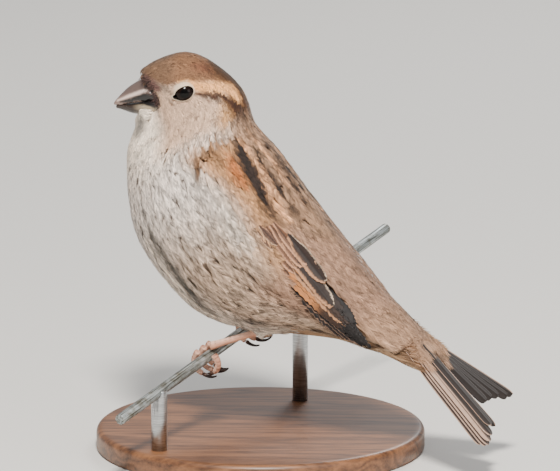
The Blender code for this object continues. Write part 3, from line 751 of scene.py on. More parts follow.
def newMaterial(name, **values):
    material = bpy.data.materials.new(name)
    material.use_nodes = True
    shader = material.node_tree.nodes["Principled BSDF"]
    for key, value in values.items():
        shader.inputs[key.replace("_", " ")].default_value = value
    return material, material.node_tree, shader


def addNode(tree, kind, links=(), **settings):
    node = tree.nodes.new(kind)
    for key, value in settings.items():
        setattr(node, key, value)
    for key, value in dict(links).items():
        if isinstance(value, bpy.types.NodeSocket):
            tree.links.new(value, node.inputs[key])
        else:
            node.inputs[key].default_value = value
    return node


def addMath(tree, operation, first, second, kind="Math"):
    return addNode(tree, "ShaderNode" + kind, {0: first, 1: second}, operation=operation).outputs[0]


def addNoise(tree, where, scale, detail):
    noise = addNode(tree, "ShaderNodeTexNoise", {"Vector": where, "Scale": scale, "Detail": detail})
    return noise.outputs["Fac"]


def makeGrain():
    # breaks up a colour with soft patches and fine specks, and gives a mask for bumps
    group = bpy.data.node_groups.new("plumageGrain", "ShaderNodeTree")
    face = group.interface
    face.new_socket("Color", in_out="INPUT", socket_type="NodeSocketColor")
    for name in ("Patch Scale", "Speck Scale", "Patch Amount", "Speck Amount"):
        face.new_socket(name, in_out="INPUT", socket_type="NodeSocketFloat")
    face.new_socket("Color", in_out="OUTPUT", socket_type="NodeSocketColor")
    face.new_socket("Mask", in_out="OUTPUT", socket_type="NodeSocketFloat")
    source, sink = group.nodes.new("NodeGroupInput"), group.nodes.new("NodeGroupOutput")
    where = addNode(group, "ShaderNodeTexCoord").outputs["Object"]
    shades = []
    for scale, amount in (("Patch Scale", "Patch Amount"), ("Speck Scale", "Speck Amount")):
        centred = addMath(group, "SUBTRACT", addNoise(group, where, source.outputs[scale], 3.0), 0.5)
        shades.append(addMath(group, "MULTIPLY", centred, source.outputs[amount]))
    gain = addMath(group, "ADD", addMath(group, "ADD", *shades), 1.0)
    tinted = addNode(group, "ShaderNodeVectorMath", {0: source.outputs["Color"], "Scale": gain},
                     operation="SCALE")
    group.links.new(tinted.outputs[0], sink.inputs["Color"])
    group.links.new(gain, sink.inputs["Mask"])
    return group


grain = makeGrain()


def placeGrain(tree, colour, patchScale, speckScale, patchAmount, speckAmount):
    return addNode(tree, "ShaderNodeGroup", {
        "Color": colour, "Patch Scale": patchScale, "Speck Scale": speckScale,
        "Patch Amount": patchAmount, "Speck Amount": speckAmount,
    }, node_tree=grain)


def addBump(tree, shader, height, strength, distance):
    bump = addNode(tree, "ShaderNodeBump", {"Height": height, "Strength": strength, "Distance": distance})
    tree.links.new(bump.outputs["Normal"], shader.inputs["Normal"])


def addRamp(tree, value, low, high):
    # low and high are each a place on the ramp and its colour
    ramp = addNode(tree, "ShaderNodeValToRGB", {"Fac": value})
    for stop, (place, colour) in zip(ramp.color_ramp.elements, (low, high)):
        stop.position = place
        stop.color = (*colour, 1.0)
    return ramp.outputs["Color"]


def paintedMaterial(name, grains, bump=0.0, **values):
    # the piece's own colours broken up by the grain, whose scales and amounts are in grains
    material, tree, shader = newMaterial(name, **values)
    colour = addNode(tree, "ShaderNodeAttribute", attribute_name="coat").outputs["Color"]
    toned = placeGrain(tree, colour, *grains)
    tree.links.new(toned.outputs["Color"], shader.inputs["Base Color"])
    if bump:
        addBump(tree, shader, toned.outputs["Mask"], bump, 0.0002)
    return material


def plumageMaterial(name, roughness, patch, speck):
    return paintedMaterial(name, (160.0, 2600.0, patch, speck), Roughness=roughness, Specular_IOR_Level=0.3,
                           Sheen_Weight=0.12, Sheen_Roughness=0.5)


downMaterial = plumageMaterial("softPlumage", 0.78, 0.25, 0.35)
skinMaterial = plumageMaterial("skinUnderCoat", 0.85, 0.2, 0.2)

# Skin

# the skin takes the markings darkened to 0.8: painted shade where it shows between the feathers
setColours(skinMesh, paintOn(coordinates(skinMesh)) * 0.8)
skinMesh.shade_smooth()
skin = addPiece("skin", skinMesh, skinMaterial, "plumage_body", *fleshNodes)
bpy.context.view_layer.objects.active = skin
skin.select_set(True)
bpy.ops.object.mode_set(mode="EDIT")
bpy.ops.mesh.select_all(action="SELECT")
bpy.ops.uv.smart_project(angle_limit=math.radians(66.0), island_margin=0.004)
bpy.ops.object.mode_set(mode="OBJECT")
skin.select_set(False)
skinMesh.uv_layers[0].name = "OFBake"
print("skin unwrapped")

skinTree = treeOf(skinMesh)
faceStarts = np.empty(len(skinMesh.polygons), np.int32)
skinMesh.polygons.foreach_get("loop_start", faceStarts)
unwrapped = np.empty(len(skinMesh.loops) * 2, np.float32)
skinMesh.uv_layers["OFBake"].data.foreach_get("uv", unwrapped)
unwrapped = unwrapped.reshape(-1, 2)


def skinSpots(points):
    faces = [skinTree.find_nearest(Vector(p))[2] for p in points]
    return unwrapped[faceStarts[faces]]


# Coat

def clearOfFace(roots, place):
    # roots that are off the eyes and off the bill's bare sides
    clear = place > 0.12
    for number in (0, 1):
        x, y, out = eyePlane(roots, number)
        far = np.hypot(x, y)
        inFront, above = x / np.maximum(far, 0.01), y / np.maximum(far, 0.01)
        least = 2.16 + 0.5 * ease(-0.2, 0.9, inFront) + 0.25 * ease(0.0, 0.6, above)
        clear &= (far > least) | (out < -1.0)
    s, _, z = headCoords(roots)
    return clear & ((beside(s, z, 0.25, 68.3) < 0.5) | (place > 4.4))


flightArea = {                                  # section, upper and lower angle of the bare folded wing
    "place": [11.5, 12.2, 12.9, 13.6, 14.4, 15.0, 15.7, 16.5, 17.2],
    "upper": [49.0, 43.0, 40.0, 41.0, 47.0, 54.0, 61.0, 71.0, 92.0],
    "lower": [53.0, 58.0, 62.0, 66.5, 73.0, 81.0, 91.0, 101.0, 112.0],
}


def underFlight(place, angle):
    # where folded flight feathers lie over the body
    turn = np.abs(angle)
    upper = np.interp(place, flightArea["place"], flightArea["upper"])
    lower = np.interp(place, flightArea["place"], flightArea["lower"])
    lowerAhead = np.interp(place + 0.8, flightArea["place"], flightArea["lower"])
    lower = np.where(place > 12.9, np.maximum(lower, lowerAhead), lower)
    first, last = flightArea["place"][0], flightArea["place"][-1]
    return (turn > upper) & (turn < lower) & (place > first) & (place < last)


coatTries = 180000
tailRootPlace = 18.0                            # the body's coat ends here, under the tail coverts
roots = scatter(coatMesh, coatTries,
                lambda place, points: featherLength(place, points) * featherShape["spacing"],
                lambda points, place, angle:
                clearOfFace(points, place) & ~underFlight(place, angle) & (place < tailRootPlace))
rootPlace, rootAngle, _ = bodyCoords(roots)
print("feather roots", len(roots))
onFace = rootPlace < 6.6
turn = np.abs(rootAngle)
coatZones = [
    ("coat_face", "tiny", onFace & (turn >= 48), {"contrast": 1.0, "streak": 0.06}),
    ("coat_crown", "tiny", onFace & (turn < 48), {"contrast": 1.3, "streak": 0.10, "spread": 0.14}),
    ("coat_breast", "soft", ~onFace & (turn >= 75) & (rootPlace < 11.2),
     {"contrast": 1.7, "streak": 0.07, "spread": 0.15, "width": 0.62, "swerve": 8.0}),
    ("coat_belly", "soft", ~onFace & (turn >= 75) & (rootPlace >= 11.2),
     {"contrast": 1.9, "streak": 0.13, "spread": 0.18, "width": 0.58, "swerve": 9.0}),
    ("coat_mantle", "neat", ~onFace & (turn < 75) & (rootPlace < 11.8),
     {"contrast": 1.3, "streak": 0.08, "spread": 0.15, "width": 0.7}),
    ("coat_rump", "soft", ~onFace & (turn < 75) & (rootPlace >= 11.8),
     {"contrast": 1.2, "streak": 0.06, "spread": 0.12, "width": 0.7, "swerve": 5.0}),
]


def plumagePiece(name, parts, material, slotName, *replaced):
    points, faces, colours, spots = parts
    mesh = meshOf(name, points, faces)
    setColours(mesh, colours)
    setUnwrap(mesh, spots, faces)
    print(name, len(faces), "faces")
    return addPiece(name, mesh, material, slotName, *replaced)


def addCoat(name, slotName, *parts):
    return plumagePiece(name, parts, downMaterial, slotName)


for name, kind, chosen, options in coatZones:
    print(name, int(chosen.sum()), "feathers")
    slotName = "plumage_head" if kind == "tiny" else "plumage_body"
    addCoat(name, slotName, *growFeathers(kind, roots[chosen], options))

# Flight feathers, coverts and tail

vaneThickness = 0.10                            # mm
vaneColumns = np.array([-1.0, -0.9, -0.74, -0.5, -0.26, -0.07, 0.07, 0.26, 0.5, 0.74, 0.9, 1.0])


def vaneShape(rows, pointed, ending):
    # half widths along a vane, as shares: narrow at the root and rounded or pointed at the end
    along = np.linspace(0.0, 1.0, rows)
    body = 0.45 + 0.55 * ease(0.0, 0.35, along)
    end = np.clip((along - ending) / (1.0 - ending), 0.0, 1.0)
    return along, body * np.maximum((1.0 - end ** (2.6 - pointed)) ** (0.5 + 0.25 * pointed), 0.02)


def vaneFeather(line, surface, outer, inner, look, rows=46):
    # line holds the middle line's points, and surface puts points on the layer they lie in
    along, shape = vaneShape(rows, look.get("pointed", 0.3), look.get("ending", 0.62))
    place = along * (len(line) - 1)
    low = np.minimum(place.astype(int), len(line) - 2)
    path = line[low] + (line[low + 1] - line[low]) * (place - low)[:, None]
    length = np.linalg.norm(np.diff(path, axis=0), axis=1).sum()
    way = unit(np.gradient(path, axis=0))
    normal = look["normal"](path)
    side = unit(np.cross(way, normal))
    a = vaneColumns[None, :]
    reach = np.where(a < 0.0, outer, inner) * shape[:, None]
    jitter = 1.0 + dice.uniform(-0.016, 0.01, reach.shape) * (np.abs(a) > 0.95)
    offset = a * reach * jitter
    slant = np.abs(offset) * look.get("slant", 0.9) * (0.25 + 0.75 * (1.0 - along[:, None]))
    spots = path[:, None] + offset[..., None] * side[:, None] + slant[..., None] * way[:, None]
    flat = surface(spots.reshape(-1, 3)).reshape(spots.shape)
    up = normal[:, None]
    camber = -look.get("camber", 0.10) * np.abs(offset) + 0.09 * (np.abs(a) < 0.1)
    points = flat + (camber + look.get("lean", 0.0) * a)[..., None] * up
    edgeGap = (1.0 - np.abs(a)) * reach
    outerEdge, innerEdge = look["outerEdge"], look["innerEdge"]
    fringe = np.where(a < 0.0, 1.0 - ease(outerEdge[1] * 0.55, outerEdge[1], edgeGap),
                      1.0 - ease(innerEdge[1] * 0.55, innerEdge[1], edgeGap))
    endGap = (1.0 - along[:, None]) * length
    tipFringe = 1.0 - ease(look["tipEdge"] * 0.5, max(look["tipEdge"], 0.01), endGap)
    colour = np.broadcast_to(look["centre"], points.shape).copy()
    rowTone = 1.0 + dice.normal(0.0, 0.07, (rows, 1)) + dice.normal(0.0, 0.02, reach.shape)
    colour = colour * rowTone[..., None]
    edge = np.where((a < 0.0)[..., None], outerEdge[0], innerEdge[0])
    edge = edge * (1.0 + 0.4 * (rowTone[..., None] - 1.0))
    fringe = np.clip(np.maximum(fringe, tipFringe), 0.0, 1.0)[..., None] * look.get("fringe", 1.0)
    if look.get("fade"):
        fringe = fringe * (1.0 - 0.97 * ease(0.5, 0.74, along))[:, None, None]
    colour = mix(colour, edge, fringe)
    colour = mix(colour, look["shaft"], (np.abs(a) < 0.1)[..., None] * 0.75)
    count = len(vaneColumns)
    r, c = np.meshgrid(np.arange(rows - 1), np.arange(count - 1), indexing="ij")
    corner = (r * count + c).ravel()
    faces = np.stack([corner, corner + 1, corner + count + 1, corner + count], 1)
    return points.reshape(-1, 3), faces, colour.reshape(-1, 3), np.stack(
        [np.broadcast_to(a, reach.shape), np.broadcast_to(along[:, None], reach.shape)], -1).reshape(-1, 2)


def joinVanes(name, feathers, slotName, *replaced):
    # one piece of many vanes, each with its own place in the unwrap
    points, faces, colours, spots, first = [], [], [], [], 0
    across = math.ceil(math.sqrt(len(feathers) * 2.5))
    down = math.ceil(len(feathers) / across)
    for number, (spot, face, colour, local) in enumerate(feathers):
        points.append(spot)
        faces.append(face + first)
        colours.append(colour)
        cell = np.array([number % across, number // across])
        inside = np.stack([0.5 + 0.42 * local[:, 0], 0.04 + 0.92 * local[:, 1]], 1)
        spots.append((cell + inside) / (across, down))
        first += len(spot)
    parts = [np.concatenate(part) for part in (points, faces, colours, spots)]
    piece = plumagePiece(name, parts, vaneMaterial, slotName, *replaced)
    shell = piece.modifiers.new("Thickness", "SOLIDIFY")
    shell.thickness = vaneThickness * mm
    shell.offset = -1.0
    return piece


def wingLine(root, tip, sign):
    # straight in space from root to tip, each a place and an angle on the body
    ends = bodySpot(np.array([root[0], tip[0]]), np.array([root[1], tip[1]]) * sign, 2.0)
    return ends[0] + (ends[1] - ends[0]) * np.linspace(0.0, 1.0, 12)[:, None]


def onWing(lift, tipLift):
    def surface(points):
        place, angle, _ = bodyCoords(points)
        rest = 0.85 * shellTrim(points, place, angle) + 0.7 * (1.0 - ease(36.0, 50.0, np.abs(angle)))
        return bodySpot(place, angle, lift - rest + tipLift * ease(14.2, 16.4, place))
    return surface


def bodyNormal(path):
    place, angle, _ = bodyCoords(path)
    return unit(bodySpot(place, angle, 1.0) - bodySpot(place, angle, 0.0))


wingPaints = {
    "tertial": tone(54, 39, 32), "tertialEdge": tone(190, 147, 113), "tertialWhite": tone(214, 194, 172),
    "secondary": tone(52, 38, 32), "ginger": tone(196, 138, 88), "primary": tone(32, 25, 24),
    "primaryEdge": tone(150, 122, 104), "covert": tone(118, 86, 66), "covertEdge": tone(199, 155, 125),
    "median": tone(104, 78, 64), "medianEdge": tone(206, 174, 144), "shaft": tone(40, 28, 24),
    "tail": tone(112, 92, 82), "tailEdge": tone(196, 168, 150), "tailDark": tone(46, 35, 30),
    "tailPale": tone(150, 128, 114),
}
# Each row of wing feathers: how many, then root, tip, half widths and lift of its first and its last
wingRows = [
    dict(count=3, root=[(12.5, 66), (12.6, 62)], tip=[(16.5, 106), (17.1, 106)],
         outer=(0.8, 0.9), inner=(2.0, 2.2), lift=(1.1, 1.35), tipLift=1.1,
         centre="primary", edge="primaryEdge", inside="primary", width=(0.2, 0.1),
         tipEdge=0.1, pointed=0.5),
    dict(count=8, root=[(12.7, 61), (12.7, 54)], tip=[(17.3, 101), (16.0, 67)],
         outer=(0.9, 1.2), inner=(2.2, 2.6), lift=(1.45, 1.95), tipLift=1.1,
         centre="primary", edge="primary", inside="primary", width=(0.25, 0.1),
         tipEdge=0.1, pointed=0.5),
    dict(count=5, root=[(12.5, 61), (12.3, 52)], tip=[(16.1, 84), (15.9, 70)],
         outer=(1.5, 1.3), inner=(1.9, 2.1), lift=(1.95, 2.3), tipLift=0.6,
         centre="secondary", edge="ginger", inside="secondary", width=(1.7, 0.2),
         tipEdge=0.0, pointed=0.5, fade=True),
    dict(count=3, root=[(12.2, 53), (11.9, 42)], tip=[(15.95, 75), (13.90, 46.5)],
         outer=(1.9, 2.4), inner=(2.1, 2.3), lift=(2.3, 2.8), tipLift=0.4,
         centre="tertial", edge="tertialEdge", inside="tertialWhite", width=(1.0, 0.28),
         tipEdge=0.5, pointed=0.2),
    dict(count=5, root=[(11.5, 56), (11.4, 45)], tip=[(13.2, 59.5), (13.05, 45.5)],
         outer=(1.5, 1.5), inner=(1.4, 1.4), lift=(2.2, 2.7), tipLift=0.0,
         centre="covert", edge="covertEdge", inside="covertEdge", width=(0.6, 0.25),
         tipEdge=0.5, pointed=0.2),
    dict(count=2, root=[(11.5, 56), (11.35, 53.5)], tip=[(12.2, 55.5), (12.15, 52)],
         outer=(1.1, 1.1), inner=(1.0, 1.0), lift=(2.5, 2.7), tipLift=0.0,
         centre="median", edge="medianEdge", inside="covertEdge", width=(0.3, 0.2),
         tipEdge=0.35, pointed=0.1),
]
vaneMaterial = plumageMaterial("firmPlumage", 0.62, 0.18, 0.22)


def makeWing(sideName, sign):
    feathers = []
    for row in wingRows:
        for k in range(row["count"]):
            share = k / (row["count"] - 1)
            root, tip = (tuple(mix(np.array(row[key][0], float), np.array(row[key][1], float), share))
                         for key in ("root", "tip"))
            look = {
                "centre": wingPaints[row["centre"]] * dice.uniform(0.92, 1.08), "shaft": wingPaints["shaft"],
                "outerEdge": (wingPaints[row["edge"]], row["width"][0]),
                "innerEdge": (wingPaints[row["inside"]], row["width"][1]),
                "tipEdge": row["tipEdge"], "pointed": row["pointed"], "normal": bodyNormal, "fringe": 0.85,
                "lean": 0.13 * sign, "fade": row.get("fade", False),
            }
            if sign < 0:
                tip = (tip[0] - 0.3, tip[1] + 7.0)
            line = wingLine(root, tip, sign)
            # the outer web is the lower one on both sides of the bird
            outer, inner = mix(*row["outer"], share), mix(*row["inner"], share)
            widths = (outer, inner) if sign < 0 else (inner, outer)
            if sign > 0:
                look["outerEdge"], look["innerEdge"] = look["innerEdge"], look["outerEdge"]
            lift, tipLift = mix(*row["lift"], share), row["tipLift"]
            if sign < 0:                        # the far wing lies flatter
                lift, tipLift = 0.7 * lift, 0.2
            feathers.append(vaneFeather(line, onWing(lift, tipLift), *widths, look))
    return joinVanes("flightFeathers_" + sideName, feathers, "plumage_wing", "flight_" + sideName)


makeWing("left", 1.0)
makeWing("right", -1.0)

# Each tail feather: turn from the middle, length, half widths outside and inside, pale outer width, height,
# dark share, how far aside its root lies, and its rise along its length
tailPlan = {
    "root": (-45.3, 22.2), "droop": 46.0, "swing": 10.7, "start": 13.0, "hinge": 35.0,
    "left": [
        (-7.2, 50.3, 2.2, 2.4, 0.2, 0.55, 0.95, 0.0, 0.0),
        (-9.2, 52.4, 2.0, 2.8, 0.6, 0.25, 0.9, -1.3, 0.0),
        (-10.2, 53.4, 2.1, 2.7, 2.4, 0.0, 0.4, -2.6, 0.0),
        (-10.7, 53.8, 1.7, 2.7, 0.75, -0.25, 0.75, -3.9, 0.0),
        (-11.3, 53.4, 1.4, 2.7, 0.5, -0.5, 0.85, -4.9, 0.0),
        (-12.0, 52.2, 1.2, 2.7, 0.4, -0.75, 0.85, -5.9, 0.0),
    ],
    "right": [
        # the far half's feathers are all at the full dark share: partly their own dark brown, partly painted
        # shade on the far half
        (-4.6, 51.0, 1.5, 1.8, 0.3, 0.05, 1.0, 0.0, 0.0),
        (2.6, 44.6, 2.2, 2.6, 0.1, -0.1, 1.0, 0.0, 0.02),
        (7.0, 45.4, 2.0, 2.8, 0.1, -0.3, 1.0, 0.0, 0.045),
        (11.3, 47.0, 1.8, 2.8, 0.1, -0.5, 1.0, 0.0, 0.07),
        (14.5, 49.6, 1.6, 2.8, 0.1, -0.7, 1.0, 0.0, 0.09),
        (17.2, 50.9, 1.3, 2.6, 0.45, -0.9, 1.0, 0.0, 0.105),
    ],
}
droop, swing = math.radians(tailPlan["droop"]), math.radians(tailPlan["swing"])
tailDown = -math.cos(droop) * ahead - math.sin(droop) * upward
tailAlong = math.cos(swing) * tailDown - math.sin(swing) * leftward
tailAcross = -math.cos(swing) * leftward - math.sin(swing) * tailDown
tailNormal = np.cross(tailAcross, tailAlong)
tailNormal = tailNormal if tailNormal[2] > 0 else -tailNormal
tailRoot = birdOrigin + tailPlan["root"][0] * ahead + tailPlan["root"][1] * upward


def makeTail(sideName, outward):
    feathers = []
    for angle, length, outer, inner, paleWidth, height, darkness, aside, rise in tailPlan[sideName]:
        turn = math.radians(angle)
        way = math.cos(turn) * tailAlong + math.sin(turn) * tailAcross
        reach = np.linspace(tailPlan["start"] - 1.1 * aside, length, 12)[:, None]
        level = height + rise * (reach - tailPlan["hinge"])
        line = tailRoot + reach * way + aside * tailAcross + level * tailNormal
        centre = mix(wingPaints["tail"], wingPaints["tailDark"], darkness) * dice.uniform(0.92, 1.06)
        look = {"centre": centre, "shaft": wingPaints["tailDark"] * 0.8, "tipEdge": 0.3, "pointed": 0.1,
                "ending": 0.9, "camber": 0.10, "slant": 0.6,
                "normal": lambda path: np.broadcast_to(tailNormal, path.shape),
                "outerEdge": (wingPaints["tailEdge" if paleWidth > 0.15 else "tailDark"], paleWidth),
                "innerEdge": (wingPaints["tailDark" if darkness > 0.8 else "tailPale"], 0.2)}
        widths = [outer, inner]
        # the outward web faces left on the left half; the vane's first side lies to the right of its way
        if np.dot(np.cross(way, tailNormal), leftward) * outward > 0:
            widths = widths[::-1]
            look["outerEdge"], look["innerEdge"] = look["innerEdge"], look["outerEdge"]
        look["lean"] = 0.12 if widths[0] == inner else -0.12
        feathers.append(vaneFeather(line, lambda points: points, *widths, look, rows=60))
    return joinVanes("tailFeathers_" + sideName, feathers, "plumage_tail", "tail_" + sideName)


makeTail("left", 1.0)
makeTail("right", -1.0)

# Tail coverts: soft feathers that lie from the rump over the tail's root, above and below

tailCoverts = {"above": 300, "below": 190, "reachAbove": (13.0, 25.0), "reachBelow": (17.0, 29.0),
               "half": 1.25, "spreadLeft": 0.49, "spreadRight": 0.25}


def makeTailCoverts():
    grids, lengths, colours = [], [], []
    for count, reaches, sign in ((tailCoverts["above"], tailCoverts["reachAbove"], 1.0),
                                 (tailCoverts["below"], tailCoverts["reachBelow"], -1.0)):
        across = dice.uniform(-1.0, 1.0, count)
        level = dice.random(count)
        turn = across * 118.0 if sign > 0 else 180.0 + across * 78.0
        place = mix(14.9, 17.3, level)
        rootSpots = bodySpot(place, turn, -2.0 if sign > 0 else -0.9)
        reach = mix(*reaches, level) - (0.3 if sign > 0 else 2.5) * across**2
        aside = -sign * across * reach
        aside = aside * np.where(aside < 0.0, tailCoverts["spreadLeft"], tailCoverts["spreadRight"])
        height = sign * (0.45 - 0.4 * across**2 + 0.25 * (1.0 - level))
        tipSpots = (tailRoot + reach[:, None] * tailAlong + aside[:, None] * tailAcross
                    + height[:, None] * tailNormal)
        out = unit(bodySpot(place, turn, 1.0) - bodySpot(place, turn, 0.0))
        share = np.linspace(0.0, 1.0, latticeSteps)[None, :, None]
        bow = out * (0.25 if sign > 0 else 0.6)
        line = rootSpots[:, None] + (tipSpots - rootSpots)[:, None] * share
        line = line + bow[:, None] * 4.0 * share * (1.0 - share)
        along = unit(np.gradient(line, axis=1))
        flatten = share if sign > 0 else 0.35 * share
        normal = unit(out[:, None] * (1.0 - flatten) + sign * tailNormal * flatten)
        side = unit(np.cross(along, normal))
        half = tailCoverts["half"]
        drop = 0.25 * normal
        grids.append([line - side * half - drop, line, line + side * half - drop, normal])
        lengths.append(np.linalg.norm(tipSpots - rootSpots, axis=1))
        base = paints["tailCovert"] if sign > 0 else mix(paints["tailCovert"], paints["vent"], 0.4)
        colours.append(base * dice.uniform(0.86, 1.08, (count, 1)))
    grids = [np.concatenate([grid[k] for grid in grids]) for k in range(4)]
    lengths, colours = np.concatenate(lengths), np.concatenate(colours)
    roots = grids[1][:, 0]
    addCoat("coat_tailCoverts", "plumage_tail", *placeFeathers(
        "neat", grids, lengths, colours, colours * 1.1, np.zeros(len(roots)), skinSpots(roots),
        {"lift": 0.1, "contrast": 1.3, "ruffle": 0.2, "camber": 0.03}))


makeTailCoverts()

# Eyes and lids

lidRings = [                                    # distance from the eye's axis and height over the ball, mm
    (1.94, -0.12), (2.00, 0.06), (2.07, 0.17), (2.15, 0.20), (2.25, 0.14), (2.38, 0.04), (2.5, -0.04),
    (2.62, -0.12), (2.75, -0.2), (2.9, -0.28), (3.1, -0.42), (3.5, -0.7),
]
lidSlant = 0.14                                 # how much the opening leans


eyeMaterial = paintedMaterial("wetEye", (900.0, 4000.0, 0.5, 0.4), Roughness=0.16, Specular_IOR_Level=0.16,
                              Coat_Weight=0.05, Coat_Roughness=0.04)
lidMaterial = plumageMaterial("eyelid", 0.5, 0.3, 0.5)


def makeEye(name, middle, sign):
    axis = eyeAxis(sign)
    turn = Vector(axis).to_track_quat("Z", "Y").to_matrix().to_4x4()
    work = bmesh.new()
    bmesh.ops.create_uvsphere(work, u_segments=48, v_segments=40, radius=eyeLook["radius"] * mm)
    bmesh.ops.transform(work, matrix=Matrix.Translation(Vector(middle) * mm) @ turn, verts=work.verts)
    mesh = meshFrom(work, name)
    spots = coordinates(mesh) - middle
    outside = np.linalg.norm(spots - (spots @ axis)[:, None] * axis, axis=1)
    behind = spots @ axis < 0.0
    outside[behind] = eyeLook["radius"]
    pupil, iris = eyeLook["pupil"], eyeLook["iris"]
    colour = mix(tone(4, 3, 3), tone(36, 20, 12), ease(pupil - 0.12, pupil + 0.12, outside)[:, None])
    colour = mix(colour, tone(12, 8, 6), ease(iris - 0.3, iris, outside)[:, None])
    setColours(mesh, colour)
    return addPiece(name, mesh, eyeMaterial, "eye", name.replace("eyeball", "eye"))


def makeLids(name, middle, sign):
    front, top, axis = eyeFrame(sign)
    steps = 64
    turn = np.arange(steps) * 2.0 * math.pi / steps
    corner = 0.22 * np.exp(-((np.degrees(turn) - 345.0) / 26.0) ** 2)      # the low front corner
    wide = np.where(np.cos(turn) > 0, eyeLook["front"], eyeLook["rear"]) * (1.0 + corner)
    tall = np.where(np.sin(turn) > 0, eyeLook["top"], eyeLook["bottom"]) * (1.0 + corner)
    points, colours = [], []
    for k, (reach, lift) in enumerate(lidRings):
        x = reach * (np.cos(turn) * wide - lidSlant * np.sin(turn) * tall)
        y = reach * (np.sin(turn) * tall - lidSlant * np.cos(turn) * wide)
        far = np.hypot(x, y)
        ball = np.sqrt(np.maximum(eyeLook["radius"] ** 2 - np.minimum(far, 2.45) ** 2, 0.0))
        fold = 0.05 * np.sin(turn * 18.0 + k) * (2.3 < reach < 3.2)
        depth = ball + lift + fold
        spot = middle + x[:, None] * front + y[:, None] * top
        if reach > 2.3:
            coat = [coatTree.ray_cast(Vector(start), Vector(-axis))[0] for start in spot + 9.0 * axis]
            coat = np.array([9.0 if hit is None else (np.array(hit) - middle) @ axis for hit in coat])
            depth = np.minimum(depth, coat - 0.02 - 0.3 * (reach - 2.38))
            depth = np.maximum(depth, np.sqrt(np.maximum(eyeLook["radius"] ** 2 - far**2, 0.0)) + 0.07)
        points.append(spot + depth[:, None] * axis)
        rim = 1.0 - ease(2.05, 2.22, reach)
        shade = mix(paints["eyeRing"], tone(34, 24, 20), rim)
        face = paintOn(points[-1])
        shade = mix(np.broadcast_to(shade, face.shape), face, ease(2.2, 2.4, reach))
        # painted shade: the lower half of the lids is darkened to 0.8, and the outer rings, which slip under
        # the coat, darken further
        lower = 0.5 - 0.5 * np.sin(turn)
        colours.append(mix(shade, shade * 0.8, lower[:, None]) * (1.0 - 0.45 * ease(2.9, 3.5, reach)))
    r, c = np.meshgrid(np.arange(len(lidRings) - 1), np.arange(steps), indexing="ij")
    here, after = (r * steps + c).ravel(), (r * steps + (c + 1) % steps).ravel()
    faces = np.stack([here, after, after + steps, here + steps], 1)
    points, colours = np.concatenate(points), np.concatenate(colours)
    a, b, c = (points[faces[0, k]] for k in range(3))
    if np.dot(np.cross(b - a, c - a), axis) < 0:
        faces = faces[:, ::-1]
    mesh = meshOf(name, points, faces)
    setColours(mesh, colours)
    return addPiece(name, mesh, lidMaterial, "plumage_head")


for sideName, middle, sign in (("left", eyeMiddles[0], 1.0), ("right", eyeMiddles[1], -1.0)):
    makeEye("eyeball_" + sideName, middle, sign)
    makeLids("lids_" + sideName, middle, sign)
print("eyes")

# Bill

billLook = {"top": tone(112, 97, 92), "side": tone(148, 128, 120), "ridgeHighlight": tone(226, 206, 196),
            "edge": tone(60, 46, 40), "dark": tone(30, 23, 22), "lowerPale": tone(198, 182, 158),
            "lowerTip": tone(66, 54, 48)}


def smoothCopy(name, node, levels):
    work = bmesh.new()
    work.from_mesh(nodes[node].data)
    bmesh.ops.remove_doubles(work, verts=work.verts, dist=weld)
    done = applied(name, meshFrom(work, name), [("SUBSURF", {"levels": levels, "render_levels": levels})])
    done.shade_smooth()
    return done


billMaterial = paintedMaterial("hornBill", (700.0, 5000.0, 0.30, 0.30), Roughness=0.32, Coat_Weight=0.25,
                               Coat_Roughness=0.25)
faceMiddle = bodySpot(np.array([0.0]), np.array([0.0]), -5.2)[0]
faceRise = unit(bodySpot(np.array([0.0]), np.array([0.0]), 1.0)[0] - faceMiddle)
faceAhead = unit(np.cross(headLeft, faceRise))
faceAhead = faceAhead * np.sign(faceAhead @ headAhead)

billFlare = {"upper": 0.36, "lower": 0.34}       # how much wider the bill grows at its root
billFill = {"upper": 0.14, "lower": 0.34, "drop": 1.3}
billReach = {"height": [-4.6, -3.4, -2.0, 0.2, 2.2, 4.4], "back": [4.2, 5.0, 5.4, 4.2, 2.6, 0.9]}
# On the upper mandible the ridge stroke is a painted highlight, and the dark band along its lower half and
# the dark at its root under the bristles are painted shade; on the lower mandible the dark along its
# underside edge and along the mouth's line are painted shade.
billStrokes = {
    True: [("dark", 0.45, [(29.6, 69.7, 0.25), (26.2, 70.4, 0.85), (22.8, 71.3, 1.4), (20.0, 71.0, 1.6),
                           (18.0, 69.0, 1.5)]),
           ("side", 0.25, [(25.6, 69.9, 0.2), (23.8, 70.2, 0.2)]),
           ("ridgeHighlight", 0.35, [(30.4, 69.9, 0.15), (27.0, 71.5, 0.35), (24.4, 72.6, 0.4), (22.0, 73.6, 0.3)]),
           ("dark", 0.4, [(23.0, 76.0, 0.6), (21.6, 74.2, 0.5)])],
    False: [("edge", 0.4, [(28.6, 68.3, 0.1), (24.0, 67.3, 0.2), (19.0, 67.3, 0.3)]),
            ("dark", 0.35, [(26.0, 69.5, 0.2), (23.4, 70.1, 0.75), (21.0, 70.0, 1.0), (19.0, 69.5, 1.2),
                            (18.2, 68.5, 0.9)])],
}


